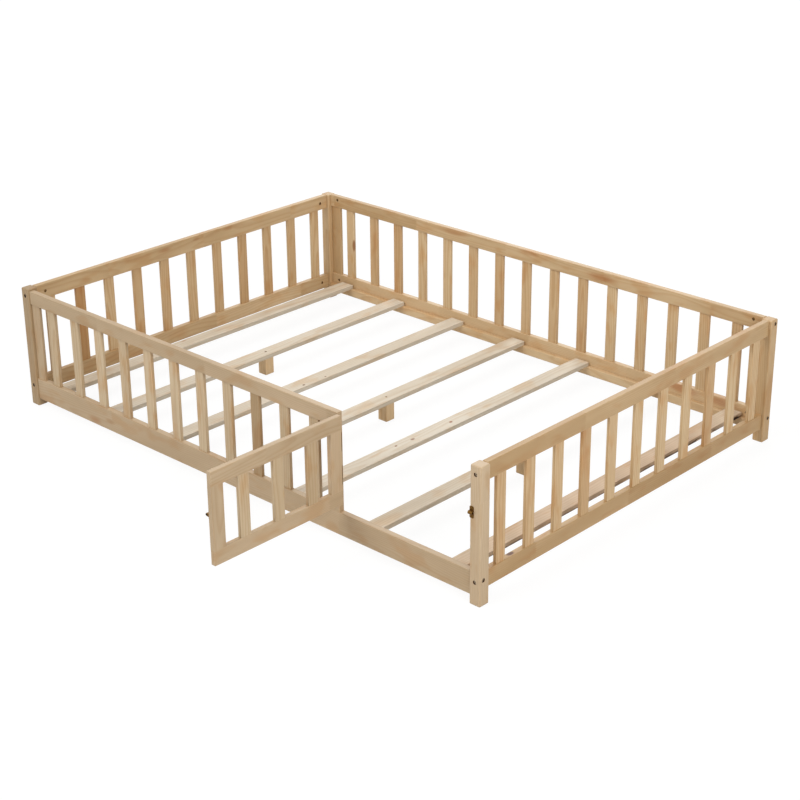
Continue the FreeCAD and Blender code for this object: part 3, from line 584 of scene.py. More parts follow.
@dataclass(frozen=True)
class PlatedSteel(Finish):
    """Stamped or turned steel with a thin plating: a hard, slightly uneven gloss that is
    duller where dirt or oxide has settled."""
    colour: str
    dull: str
    rough: float

    def draw(self, tree: NodeTree) -> None:
        """Draws up the shader, with blotches 4 mm and scratches 0.6 mm across.

        Args:
            tree: the material's tree.
        """
        wiring = Wiring(tree)
        add = wiring.add
        where = add("ShaderNodeTexCoord", out="Object")
        blotch, scratch = (add(NOISE, {"Vector": where, "Scale": scale, "Detail": detail})
                           for scale, detail in ((250.0, 3.0), (1800.0, 1.0)))
        colour = add(MIX, {"Factor": blotch, "A": linear(self.colour),
                           "B": linear(self.dull)}, "Result", data_type="RGBA")
        shine = add(TIMES_PLUS, (blotch, 0.2, self.rough - 0.1))
        bump = add(BUMP, {"Strength": 0.12, "Distance": 0.05 * MM, "Height": scratch})
        wiring.end(SURFACE, add(PRINCIPLED, {
            "Base Color": colour, "Metallic": 1.0, "Roughness": shine, "Normal": bump}))


class Palette:
    """The bed's finishes, each built once."""

    def __init__(self) -> None:
        """Builds the finishes."""
        woods = {
            # glued-up pine under clear lacquer, from the paler, slightly pink batch: posts,
            # door and fence. The tone steps along a rail, and the lacquer gives a soft sheen
            Batch.PALE: Pine(
                "lacquered_pale_pine", "#ccb494", "#a9906e", "#d6b68e", ring_depth=0.23,
                length=520.0, knots=0.0, blush=0.35, spots=(
                    Spot((-640, -710.5, 42), (42, 9, 16), "#e0ae78"),
                    Spot((-560, -710.5, 60), (30, 9, 9), "#d6b48c"))),
            # the same boards from a warmer, more yellow batch: end panels and back
            Batch.WARM: Pine(
                "lacquered_warm_pine", "#d2b68e", "#ae8c5e", "#d8b280", ring_depth=0.26,
                length=430.0, patch=1.0, knots=0.0, blush=0.4, spots=(
                    Spot((1005, -565, 98), (8, 16, 9), "#7c5420", 1.0, 1.0),
                    Spot((352, 690.5, 397), (80, 9, 18), "#d9ab7c", 0.75),
                    Spot((-314, 690.5, 412), (74, 9, 15), "#dcb080"),
                    Spot((35, 690.5, 412), (50, 9, 13), "#dcb080"),
                    Spot((705, 690.5, 91), (70, 9, 18), "#dda98c"),
                    Spot((856, 690.5, 87), (66, 9, 20), "#dda98c"),
                    Spot((-955, -124, 404), (9, 46, 13), "#d8a468"),
                    Spot((-955, 174, 412), (9, 42, 12), "#d8a468"),
                    Spot((-955, 20, 408), (9, 26, 9), "#d3a878"))),
            # bars in one length under the same lacquer: neighbours differ, a few are orange
            Batch.BARS: Pine(
                "lacquered_pine_bars", "#d6bc94", "#b07e44", "#d4aa6c", ring_space=7.0,
                ring_depth=0.34, patch=0.5, knots=0.0, spots=(
                    Spot((-830, 695, 238), (8, 9, 24), "#a8743f", 0.8, 1.0),)),
            # bars of the pale batch, in the fence and the door
            Batch.PALE_BARS: Pine(
                "lacquered_pale_pine_bars", "#d0ba99", "#a68a64", "#d3af80", ring_space=7.0,
                ring_depth=0.27, patch=0.5, knots=0.0),
            # slats, planed and left raw: paler and drier, darker on their narrow sides, with
            # small red-brown knots and here and there a rest of bark
            Batch.RAW: Pine(
                "planed_raw_pine", "#e4dac9", "#ccba9f", "#dcc8aa", "#8a5a3a",
                ring_space=8.0, ring_depth=0.3, patch=1.3, knots=0.04, rough=0.7,
                side_dark=0.2, blush=0.35, spots=(
                    Spot((-274, -114, 80), (5, 7, 5), "#7a5030", 1.0, 1.0),
                    Spot((-271, -15, 80), (4, 6, 5), "#8c6444", 1.0, 1.0),
                    Spot((282, -252, 80), (4, 6, 5), "#9c7454", 1.0, 1.0),
                    Spot((290, -4, 80), (5, 7, 5), "#b07458", 1.0, 1.0),
                    # a dark brown patch low on slat 7's side at its far end, just above the
                    # back strip
                    Spot((938.5, 648, 68), (9, 24, 10), "#4e3420", 1.0, 1.0),
                    Spot((912, -60, 74), (120, 1100, 80), "#eed4c0"),
                    Spot((-876, -129, 80), (6, 16, 5), "#c98a5c")))}
        self.wood = {batch: pine.material() for batch, pine in woods.items()}
        self.bolts, self.nuts, self.brass, self.black = (
            PlatedSteel(*look).material() for look in (
                # zinc on the bolts: a pale warm grey, a little worn in their recesses
                ("zinc_plated_steel", "#d2c5b0", "#8e7d64", 0.34),
                # yellow zinc on the barrel nuts and wood screws: brown in their holes
                ("yellow_zinc_plated_steel", "#a58456", "#6b5030", 0.42),
                # aged brass plating on the latch and hinges: brown gold, darker in blotches
                ("aged_brass_plated_steel", "#8a6632", "#4a3418", 0.34),
                # blackened steel on the sliding bolt: nearly black with a sharp shine
                ("blackened_steel", "#2e2b28", "#1c1a18", 0.3)))


# ---- boards ----------------------------------------------------------------------------
@dataclass(frozen=True)
class Hole:
    """A round hole from a point on a board's face."""
    start: Vector
    direction: Vector
    depth: float
    radius: float
    slack: float = 0.2 * MM     # how far from its wall a point still belongs to it
    shade_depth: float = 0.4 * MM      # depth at which the painted shade inside it is full

    def inside(self, point: Vector) -> float:
        """How deep in the hole a point of the board lies.

        Args:
            point: the point.

        Returns:
            From 0 at the face or beside the hole to 1 where its painted shade is full.
        """
        along = (point - self.start).dot(self.direction)
        aside = (point - self.start - self.direction * along).length
        if aside > self.radius + self.slack or along > self.depth + self.slack:
            return 0.0
        return min(max(along / self.shade_depth, 0.0), 1.0)

    def cutter(self) -> Object:
        """A drum that starts a little outside the face."""
        return drum("cutter", self.start - self.direction.normalized() * MM, self.direction,
                    self.depth + MM, self.radius)


@dataclass
class Board:
    """A straight timber that stands for a CAD node, with eased edges and its own figure."""
    node: str
    grain: Axis
    batch: Batch = Batch.WARM
    tone: float = 0.4           # 0 pale to 1 deep
    body: str = "bed"
    ease: float = 2.0 * MM
    tuck: float = 0.0
    wane: float = 0.0           # how much bark is left along the lower edge at +X
    rim: float = 0.4 * MM       # rounding of the rims of its holes
    holes: Sequence[Hole] = ()
    piece: Optional[Object] = None

    def build(self) -> None:
        """Shapes the timber in the space of its node."""
        low, high = (Vector(corner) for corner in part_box(self.node))
        low.z += self.tuck
        high.z -= self.tuck
        self.piece = block(self.node + "_timber", low, high)
        round_edges(self.piece, self.ease, BOARD_EDGE)
        if self.holes:
            combine(self.piece, [hole.cutter() for hole in self.holes])
            round_edges(self.piece, self.rim, BOARD_EDGE, 2)
        smooth(self.piece)
        self.mark(low, high)

    def mark(self, low: Vector, high: Vector) -> None:
        """Writes what the wood's finish reads on the mesh.

        Args:
            low: lowest corner of the timber.
            high: highest corner of the timber.
        """
        chance = random.Random(self.node)
        # the pith lies 15 to 60 mm away, mostly behind the broad face
        shift = (chance.uniform(-9, 9), chance.uniform(-60, 60) * MM,
                 chance.choice((-1, 1)) * chance.uniform(15, 60) * MM)
        middle, size = (low + high) / 2, high - low
        along = self.grain.value
        broad, narrow = sorted({0, 1, 2} - {along}, key=lambda axis: -size[axis])
        points = [vertex.co for vertex in self.piece.data.vertices]
        self.write("grain", [place[axis] - middle[axis] + aside for place in points for
                             axis, aside in zip((along, broad, narrow), shift)],
                   kind="FLOAT_VECTOR")
        self.write("tone", [self.tone] * len(points))
        # bore: painted shade deep in each hole, standing also for the darker end grain of its
        # walls
        self.write("bore", [max((hole.inside(place) for hole in self.holes), default=0.0)
                            for place in points])
        if self.batch is Batch.RAW:
            self.write("side", [float(abs(face.normal[broad]) > 0.7)
                                for face in self.piece.data.polygons], "FACE")
        if self.wane:
            edge = high.x - 2 * self.ease
            self.write("wane", [self.wane if place.x > edge and place.z < middle.z else 0.0
                                for place in points])

    def write(self, name: str, values: list[float], domain: str = "POINT",
              kind: str = "FLOAT") -> None:
        """Writes an attribute.

        Args:
            name: its name.
            values: its numbers, one after the other.
            domain: what holds them, points or faces.
            kind: its type, a number or a vector.
        """
        self.piece.data.attributes.new(name, kind, domain).data.foreach_set(
            "value" if kind == "FLOAT" else "vector", values)

    def dress(self, palette: Palette) -> None:
        """Gives the timber its finish and its place in the moving model."""
        slot = "slat_pine" if self.batch is Batch.RAW else "frame_pine"
        give(self.piece, palette.wood[self.batch], self.body, slot, self.node)


class GeometryWiring(Wiring):
    """A Geometry Nodes tree with named inputs, which ends in Set Material."""

    def __init__(self, name: str, sockets: Sequence[tuple[str, str, Value]]) -> None:
        """Starts the tree.

        Args:
            name: its name.
            sockets: name, type and default of each input after the geometry.
        """
        super().__init__(bpy.data.node_groups.new(name, "GeometryNodeTree"))
        face = self.tree.interface
        for label, kind, default in (("Geometry", "Geometry", None), *sockets):
            socket = face.new_socket(label, in_out="INPUT", socket_type="NodeSocket" + kind)
            if default is not None:
                socket.default_value = default
        face.new_socket("Geometry", in_out="OUTPUT", socket_type="NodeSocketGeometry")
        self.given = self.tree.nodes.new("NodeGroupInput").outputs

    def paint(self, geometry: NodeSocket) -> None:
        """Gives the result the wanted finish and leads it out."""
        self.end("NodeGroupOutput", self.add("GeometryNodeSetMaterial", {
            "Geometry": geometry, "Material": self.given["Finish"]}))

    def run(self, thing: Object, values: dict[str, Value]) -> None:
        """Runs the tree on an object and keeps the result as its plain mesh.

        Args:
            thing: the object.
            values: value of each named input.
        """
        apply(thing, "NODES", {
            item.identifier: values[item.name] for item in self.tree.interface.items_tree
            if item.item_type == "SOCKET" and item.in_out == "INPUT" and item.name in values},
            node_group=self.tree)


class BarRowTree(GeometryWiring):
    """The tree that stands an equal flat bar with rounded edges on every point."""

    def __init__(self) -> None:
        """Builds the tree."""
        super().__init__("bar_row", (
            ("Width", "Float", 38 * MM), ("Thickness", "Float", 11 * MM),
            ("Height", "Float", 270 * MM), ("Rounding", "Float", 2 * MM),
            ("Turn", "Float", 0.0), ("Finish", "Material", None), ("Seed", "Int", 1)))
        add, given = self.add, self.given
        placed = add("GeometryNodeInstanceOnPoints", {
            "Points": given["Geometry"], "Instance": self.one_bar(),
            "Rotation": add(GATHER, {2: given["Turn"]})})
        # the pith lies up to 60 mm aside and 12 to 60 mm behind a bar
        chance = add("FunctionNodeRandomValue", {
            "Min": (-9, -0.06, 0.012), "Max": (9, 0.06, 0.06), "Seed": given["Seed"]},
            data_type="FLOAT_VECTOR")
        shifted = add(STORE, {"Geometry": placed, "Name": "shift", "Value": chance},
                      data_type="FLOAT_VECTOR", domain="INSTANCE")
        real = add("GeometryNodeRealizeInstances", (shifted,))
        own, shift = (add("GeometryNodeInputNamedAttribute", {"Name": name},
                          data_type="FLOAT_VECTOR") for name in ("grain", "shift"))
        total = add(VECTOR + "ADD", (own, shift))
        self.paint(add(STORE, {"Geometry": real, "Name": "grain", "Value": total}, **POINTS))

    def one_bar(self) -> NodeSocket:
        """A bar stood on the origin: a rounded outline filled, raised and closed below."""
        add, given = self.add, self.given
        outline = add("GeometryNodeCurvePrimitiveQuadrilateral", {
            "Width": given["Width"], "Height": given["Thickness"]})
        eased = add("GeometryNodeFilletCurve", {
            "Curve": outline, "Radius": given["Rounding"], "Count": 3}, mode="POLY")
        foot = add("GeometryNodeFillCurve", (eased,), mode="NGONS")
        raised = add("GeometryNodeExtrudeMesh", {
            "Mesh": foot, "Offset": add(GATHER, {2: given["Height"]}), "Offset Scale": 1.0,
            "Individual": False}, mode="FACES")
        both = add("GeometryNodeJoinGeometry", (raised,))
        self.tree.links.new(add("GeometryNodeFlipFaces", (foot,)), both.node.inputs[0])
        closed = add("GeometryNodeMergeByDistance", {"Geometry": both, "Distance": NEAR})
        x, y, z = add(SPLIT, (add("GeometryNodeInputPosition"),)).node.outputs
        return add(STORE, {"Geometry": closed, "Name": "grain",
                           "Value": add(GATHER, (z, x, y))}, **POINTS)


@dataclass
class BarRow:
    """A row of bars that stands for a CAD node of bars."""
    node: str
    run: Axis
    count: int
    batch: Batch = Batch.BARS
    deep: dict[int, float] = field(default_factory=dict)    # tone of the bars that stand out
    width: float = 38 * MM
    ease: float = 1.8 * MM
    body: str = "bed"
    piece: Optional[Object] = None

    def build(self, tree: BarRowTree, palette: Palette) -> None:
        """Lays the row out between the first and last bar of its node.

        Args:
            tree: the tree that stands a bar on each point.
            palette: the finishes.
        """
        chance = random.Random(self.node)
        low, high = (Vector(corner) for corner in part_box(self.node))
        along, across = self.run.value, 1 - self.run.value
        places, tones = [], []
        for index in range(self.count):
            place = (low + high) / 2
            place[along] = low[along] + self.width / 2 + index / (self.count - 1) * (
                high[along] - low[along] - self.width)
            place.z = low.z + TENON - TUCK
            places.append(place)
            tones.append(self.deep.get(index + 1, chance.uniform(0.0, 0.35)))
        mesh = bpy.data.meshes.new(self.node)
        mesh.from_pydata(places, [], [])
        mesh.attributes.new("tone", "FLOAT", "POINT").data.foreach_set("value", tones)
        self.piece = new_object(self.node + "_row", mesh)
        tree.run(self.piece, {
            "Width": self.width, "Thickness": high[across] - low[across],
            "Rounding": self.ease, "Height": high.z - low.z - 2 * (TENON - TUCK),
            "Turn": math.pi / 2 if self.run is Axis.Y else 0.0,
            "Finish": palette.wood[self.batch], "Seed": sum(map(ord, self.node))})
        smooth(self.piece)

    def dress(self, palette: Palette) -> None:
        """Gives the row its finish and its place in the moving model."""
        give(self.piece, palette.wood[self.batch], self.body, "frame_pine", self.node)


# ---- fasteners -------------------------------------------------------------------------
@dataclass(frozen=True)
class Fastener:
    """A turned fastener along +Z: its head below zero and its shank above."""
    head: float                 # radius
    head_deep: float
    shank: float                # radius
    long: float
    drive: Drive
    dome: float = 0.0
    rim: float = 0.4 * MM
    hexagon: float = 0.46       # share of the head that a drive's hexagon takes
    arm: float = 0.62           # and a slot's length
    wide: float = 0.11          # and its width
    deep: float = 0.45          # share of the head's depth below a drive

    def template(self) -> Object:
        """Turns one fastener and cuts the drive in its head."""
        top = -self.head_deep
        piece = turned("fastener", (
            (0.0, top - self.dome), (self.head * 0.6, top - self.dome * 0.75),
            (self.head - self.rim, top), (self.head, top + self.rim), (self.head, 0.0),
            (self.shank, 0.0), (self.shank, self.long - self.shank), (0.0, self.long)),
            Matrix())
        combine(piece, self.drive_cutters())
        return piece

    def drive_cutters(self) -> list[Object]:
        """The shapes that cut the drive."""
        top, floor = -self.head_deep - self.dome - MM, -self.head_deep * self.deep
        if self.drive is Drive.HEXAGON:
            return [drum("cutter", UP * top, UP, floor - top, self.head * self.hexagon,
                         6)]
        wide, arm = self.head * self.wide, self.head * self.arm
        bars = [block("cutter", Vector((-arm, -wide, top)), Vector((arm, wide, floor)))]
        if self.drive is Drive.CROSS:
            bars.append(block("cutter", Vector((-wide, -arm, top)),
                              Vector((wide, arm, floor + NEAR))))
        return bars


class FastenerTree(GeometryWiring):
    """The tree that sets a fastener on every point of a mesh, aimed by its attribute."""

    def __init__(self) -> None:
        """Builds the tree."""
        super().__init__("fasteners_in_holes", (
            ("Fastener", "Object", None), ("Finish", "Material", None), ("Seed", "Int", 3)))
        add, given = self.add, self.given
        shape = add("GeometryNodeObjectInfo", {"Object": given["Fastener"]}, "Geometry")
        aim = add("GeometryNodeInputNamedAttribute", {"Name": "aim"},
                  data_type="FLOAT_VECTOR")
        turn = add("FunctionNodeAlignRotationToVector", {"Vector": aim}, axis="Z")
        # sockets 3 and 1 are the highest number and the number drawn
        spin = add("FunctionNodeRandomValue", {3: math.tau, "Seed": given["Seed"]}, 1,
                   data_type="FLOAT")
        placed = add("GeometryNodeInstanceOnPoints", {
            "Points": given["Geometry"], "Instance": shape, "Rotation": turn})
        twisted = add("GeometryNodeRotateInstances", {
            "Instances": placed, "Rotation": add(GATHER, {2: spin}), "Local Space": True})
        self.paint(add("GeometryNodeRealizeInstances", (twisted,)))


@dataclass
class FastenerSet:
    """All equal fasteners of a CAD node, each at a point and aimed along a direction."""
    node: str
    kind: Fastener
    places: list[Line]
    slot: str
    body: str = "bed"

    def build(self, tree: FastenerTree, material: Material) -> None:
        """Sets the fasteners and gives them their finish.

        Args:
            tree: the tree that sets a fastener on each point.
            material: the finish.
        """
        mesh = bpy.data.meshes.new(self.node)
        mesh.from_pydata([point for point, _way in self.places], [], [])
        mesh.attributes.new("aim", "FLOAT_VECTOR", "POINT").data.foreach_set(
            "vector", [c for _point, way in self.places for c in way])
        piece = new_object(self.node + "_set", mesh)
        template = self.kind.template()
        tree.run(piece, {"Fastener": template, "Finish": material})
        bpy.data.objects.remove(template)
        piece.data.set_sharp_from_angle(angle=math.radians(40))
        smooth(piece)
        give(piece, material, self.body, self.slot, self.node)


@dataclass(frozen=True)
class FrameJoint:
    """A bolt through a post into a barrel nut in a rail's end."""
    post: str
    rail: str
    run: Axis
    height: float               # mm above the floor

    def line(self) -> Line:
        """The point where the bolt's axis meets the post's outer face, and its way in."""
        post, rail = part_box(self.post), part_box(self.rail)
        axis, across = self.run.value, 1 - self.run.value
        inwards = rail[0][axis] > post[0][axis]
        point, way = Vector((0, 0, self.height * MM)), Vector()
        point[axis] = post[0 if inwards else 1][axis]
        point[across] = (rail[0][across] + rail[1][across]) / 2
        way[axis] = 1.0 if inwards else -1.0
        return point, way

    def nut(self, reach: float) -> Line:
        """The barrel nut in its hole.

        Args:
            reach: how far it sits from the post's outer face.

        Returns:
            Its middle, and the way that it is put in, from inside the bed.
        """
        point, way = self.line()
        middle, inside = point + way * reach, Vector()
        across = 1 - self.run.value
        inside[across] = 1.0 if middle[across] > 0 else -1.0
        return middle, inside


def frame_joints() -> list[FrameJoint]:
    """Lists the bolted joints, the end panels' first."""
    joints = [FrameJoint("post_%s_%s" % (depth, side), "end_%s_%s_rail" % (side, rail),
                         Axis.Y, height) for side in ("left", "right")
              for depth in ("front", "back")
              for rail, height in (("top", 394.0), ("low", 72.0))]
    for depth, rail, height, sides in (
            ("front", "front_low_rail", 80.0, ("left", "right")),
            ("front", "fence_top_rail", 386.5, ("left",)),
            ("back", "back_low_rail", 80.0, ("left", "right")),
            ("back", "back_top_rail", 405.5, ("left", "right"))):
        joints += [FrameJoint("post_%s_%s" % (depth, side), rail, Axis.X, height)
                   for side in sides]
    return joints


@dataclass
class Hardware:
    """The bolts and barrel nuts that join rails and posts and the screws of the centre
    legs, with the holes they sit in. Sizes are as the CAD has them."""
    rail: float = 20 * MM
    sink: float = 7 * MM
    recess: float = 5.95 * MM
    nut_reach: float = (38 + 36) * MM       # a post's side and a nut's place in the rail
    nut_long: float = 14 * MM
    nut_hole: float = 5.15 * MM
    countersink: float = 3 * MM
    countersink_radius: float = 4 * MM
    bolt: Fastener = Fastener(5.5 * MM, 4 * MM, 3 * MM, 73 * MM, Drive.HEXAGON)
    barrel: Fastener = Fastener(5 * MM, 14 * MM, 0.1 * MM, 0.2 * MM, Drive.SLOT)
    leg_screw: Fastener = Fastener(3.6 * MM, 2.2 * MM, 2 * MM, 36 * MM, Drive.CROSS)
    legs: dict[str, str] = field(default_factory=lambda: {
        "slat_2": "leg_left", "slat_4": "leg_middle", "slat_6": "leg_right"})
    joints: list[FrameJoint] = field(default_factory=frame_joints)

    def leg_hole(self, leg: str) -> Hole:
        """The countersink in the slat over the middle of a leg."""
        low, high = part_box(leg)
        return Hole(Vector(((low[0] + high[0]) / 2, 0.0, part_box("slat_4")[1][2])), DOWN,
                    self.countersink, self.countersink_radius)

    def holes(self, node: str) -> list[Hole]:
        """Finds the recesses, nut holes and countersinks in a board.

        Args:
            node: the board's CAD node.

        Returns:
            The holes.
        """
        found = [self.leg_hole(self.legs[node])] if node in self.legs else []
        half = self.rail / 2
        for joint in self.joints:
            if joint.post == node:
                found.append(Hole(*joint.line(), self.sink, self.recess))
            if joint.rail == node:
                middle, inside = joint.nut(self.nut_reach)
                found.append(Hole(middle - inside * half, inside, half + self.nut_long / 2,
                                  self.nut_hole))
        return found

    def build(self, tree: FastenerTree, palette: Palette) -> None:
        """Sets the bolts, the nuts and the screws.

        Args:
            tree: the tree that sets a fastener on each point.
            palette: the finishes.
        """
        half = self.nut_long / 2
        for group, run in (("end_rails", Axis.Y), ("long_rails", Axis.X)):
            joints = [joint for joint in self.joints if joint.run is run]
            FastenerSet("bolts_" + group, self.bolt, [
                (point + way * self.sink, way) for point, way in map(FrameJoint.line, joints)],
                "zinc_steel").build(tree, palette.bolts)
            # a barrel nut is all head: its seat is the end away from the rail's inner face
            FastenerSet("nuts_" + group, self.barrel, [
                (middle - inside * half, -inside) for middle, inside in (
                    joint.nut(self.nut_reach) for joint in joints)],
                "zinc_steel").build(tree, palette.nuts)
        holes = map(self.leg_hole, self.legs.values())
        FastenerSet("leg_screws", self.leg_screw, [
            (hole.start + hole.direction * hole.depth, hole.direction) for hole in holes],
            "zinc_steel").build(tree, palette.nuts)
        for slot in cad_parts["slat_screws"].material_slots:
            slot.material = palette.nuts


# ---- the bed's sub-assemblies ----------------------------------------------------------
@dataclass
class Timbers:
    """A sub-assembly of boards and bar rows."""
    title: str
    boards: list[Board]
    rows: Sequence[BarRow] = ()

    def build(self, hardware: Hardware, tree: BarRowTree, palette: Palette) -> None:
        """Shapes every board and row.

        Args:
            hardware: the fasteners whose holes the boards have.
            tree: the tree that stands a bar on each point.
            palette: the finishes.
        """
        for board in self.boards:
            board.holes = hardware.holes(board.node)
            board.build()
        for row in self.rows:
            row.build(tree, palette)

    def dress(self, palette: Palette) -> None:
        """Gives every board and row its finish."""
        for piece in (*self.boards, *self.rows):
            piece.dress(palette)
        LOG.info("%s: %d boards and %d rows of bars", self.title, len(self.boards),
                 len(self.rows))


class Posts(Timbers):
    """The four corner posts."""

    def __init__(self) -> None:
        """Lists the posts, of which the back ones are from the warm batch."""
        super().__init__("posts", [
            Board("post_front_left", Axis.Z, Batch.PALE, 1.0, ease=4.2 * MM),
            Board("post_front_right", Axis.Z, Batch.PALE, 0.0, ease=4.2 * MM),
            Board("post_back_left", Axis.Z, Batch.WARM, 0.6, ease=4.2 * MM),
            Board("post_back_right", Axis.Z, Batch.WARM, 0.3, ease=4.2 * MM)])


class EndPanel(Timbers):
    """A barred panel at one end of the bed."""

    def __init__(self, side: str, tone: float, deep: dict[int, float]) -> None:
        """Lists the pieces of the left or the right end.

        Args:
            side: left or right.
            tone: tone of its rails.
            deep: tone of the bars that stand out.
        """
        super().__init__("end_panel_" + side, [
            Board("end_%s_top_rail" % side, Axis.Y, tone=tone),
            Board("end_%s_low_rail" % side, Axis.Y, tone=tone + 0.1)],
            [BarRow("end_%s_bars" % side, Axis.Y, 11, deep=deep)])


class BackPanel(Timbers):
    """The barred back with its long low rail."""

    def __init__(self) -> None:
        """Lists the pieces of the back."""
        stiles = [Board("back_stile_" + side, Axis.Z, tone=tone, ease=1.8 * MM,
                        tuck=TENON - TUCK) for side, tone in (("left", 0.5), ("right", 0.3))]
        super().__init__("back", [
            Board("back_top_rail", Axis.X, tone=0.35),
            Board("back_low_rail", Axis.X, tone=0.05)] + stiles,
            [BarRow("back_bars", Axis.X, 15, deep={3: 0.45, 7: 0.45, 10: 0.42})])


class FrontFence(Timbers):
    """The front low rail and the half fence that stands on it."""

    def __init__(self) -> None:
        """Lists the pieces of the front."""
        stiles = [Board("fence_stile_" + side, Axis.Z, Batch.PALE, 0.35, ease=1.8 * MM,
                        tuck=TENON - TUCK) for side in ("left", "door")]
        super().__init__("front", [
            Board("front_low_rail", Axis.X, Batch.PALE, 0.6),
            Board("fence_top_rail", Axis.X, Batch.PALE, 0.6)] + stiles,
            [BarRow("fence_bars", Axis.X, 11, Batch.PALE_BARS, {9: 0.8})])


class Door(Timbers):
    """The small barred door, standing open."""

    def __init__(self) -> None:
        """Lists the pieces of the door's frame."""
        boards = [Board("door_%s_rail" % name, Axis.Y, Batch.PALE, 0.45, "door")
                  for name in ("top", "low")]
        boards += [Board("door_%s_stile" % name, Axis.Z, Batch.PALE, tone, "door",
                         ease=1.2 * MM, tuck=TENON - TUCK)
                   for name, tone in (("hinge", 0.35), ("free", 0.7))]
        super().__init__("door", boards, [
            BarRow("door_bars", Axis.Y, 3, Batch.PALE_BARS, {3: 0.35}, body="door")])


class SlatBase(Timbers):
    """Seven slats, the strips they lie on and the three centre legs."""

    def __init__(self) -> None:
        """Lists the pieces of the base."""
        tones = (0.5, 0.35, 0.3, 0.45, 0.25, 0.5, 0.7)
        boards = [Board("slat_%d" % (index + 1), Axis.Y, Batch.RAW, tone, ease=1.0 * MM,
                        wane=1.05 if index == 6 else 0.0)
                  for index, tone in enumerate(tones)]
        boards += [Board("ledger_" + side, Axis.X, tone=0.0, ease=3.0 * MM)
                   for side in ("front", "back")]
        boards += [Board("leg_" + side, Axis.Z, tone=0.2, ease=1.5 * MM)
                   for side in ("left", "middle", "right")]
        super().__init__("slat base", boards)


@dataclass(frozen=True)
class Plated:
    """A metal piece's finish, its place in the moving model and its edges."""
    body: str
    node: str
    edge: float                 # rounding of its edges
    strips: int = 2

    def dress(self, piece: Object, material: Material) -> None:
        """Rounds and smooths a piece and gives it its finish.

        Args:
            piece: the piece.
            material: its finish.
        """
        if self.edge:
            round_edges(piece, self.edge, METAL_EDGE, self.strips)
        smooth(piece)
        give(piece, material, self.body, "brass_plate", self.node)


SMALL_SCREW = Fastener(2.8 * MM, 1.2 * MM, 1.5 * MM, 12 * MM, Drive.CROSS)
DOMED_SCREW = Fastener(2.8 * MM, 1.2 * MM, 1.5 * MM, 12 * MM, Drive.CROSS, 0.3 * MM)


@dataclass
class HingePair:
    """The two butt hinges between the fence and the door. Sizes are in mm, as the CAD has
    them with the door open."""
    pin: tuple[float, float] = (493.8, -714.0)      # in X and Y
    feet: tuple[float, float] = (197.0, 300.0)      # above the floor
    tall: float = 50.0
    leaf: float = 1.4           # thickness
    wide: float = 19.0          # from the pin to a leaf's far edge
    offset: float = 0.4         # from the pin's middle to a leaf's near face
    knuckle: float = 3.2        # radius
    bore: float = 1.56          # radius
    pin_radius: float = 1.5
    play: float = 0.3
    corner: float = 3.0         # radius of a leaf's far corners
    screws: tuple[float, float] = (0.25, 0.75)      # shares of a leaf's height
    screw_reach: float = 11.25  # from the pin to a screw
    screw_seat: float = 1.8     # from the pin's middle to a screw's seat

    def build(self, palette: Palette, tree: FastenerTree) -> None:
        """Makes the leaves, the pins and the screws.

        Args:
            palette: the finishes.
            tree: the tree that sets a fastener on each point.
        """
        third = self.tall / 3
        fixed = ((0.0, third - self.play), (2 * third + self.play, self.tall))
        moving = ((third, 2 * third),)
        sides = (("frame", "bed", BACK, LEFT, fixed), ("door", "door", RIGHT, FRONT, moving))
        for name, body, way, side, spans in sides:
            node = "hinge_%s_leaves" % name
            leaves = join(node + "_pressed", [self.make_leaf(node, foot, way, side, spans)
                                              for foot in self.feet])
            Plated(body, node, 0.2 * MM).dress(leaves, palette.brass)
        pins = join("hinge_pins_turned", [
            drum("pin", mm(*self.pin, foot), UP, self.tall * MM, self.pin_radius * MM, 24)
            for foot in self.feet])
        Plated("bed", "hinge_pins", 0.4 * MM, 3).dress(pins, palette.brass)
        heights = [foot + share * self.tall for foot in self.feet for share in self.screws]
        for name, body, way, side, _spans in sides:
            seat = way * self.screw_reach + side * self.screw_seat
            FastenerSet("hinge_%s_screws" % name, SMALL_SCREW, [
                ((Vector((*self.pin, z)) + seat) * MM, side) for z in heights],
                "brass_plate", body).build(tree, palette.brass)

    def make_leaf(self, node: str, foot: float, way: Vector, side: Vector,
                  spans: Sequence[tuple[float, float]]) -> Object:
        """Makes a leaf: a rounded plate with its knuckles.

        Args:
            node: the CAD node.
            foot: height of its lower edge.
            way: direction from the pin to the leaf's far edge.
            side: direction from the pin to the leaf's outer face.
            spans: lowest and highest place of each knuckle above the foot.

        Returns:
            The leaf.
        """
        pin = Vector((*self.pin, foot))
        inner = pin + side * self.offset
        near = inner + way * (self.knuckle + self.play)
        far = inner + way * self.wide + side * self.leaf + UP * self.tall
        leaf = plate(node, near * MM, far * MM, Axis.X if way.y else Axis.Y,
                     self.corner * MM, way)
        for start, end in spans:
            combine(leaf, [
                drum("knuckle", (pin + UP * start) * MM, UP, (end - start) * MM,
                     self.knuckle * MM, 32),
                block("web", (inner + UP * start) * MM,
                      (near + side * self.leaf + UP * end) * MM)], "UNION")
        combine(leaf, [drum("bore", (pin - UP) * MM, UP, (self.tall + 2) * MM,
                            self.bore * MM, 24)])
        return leaf


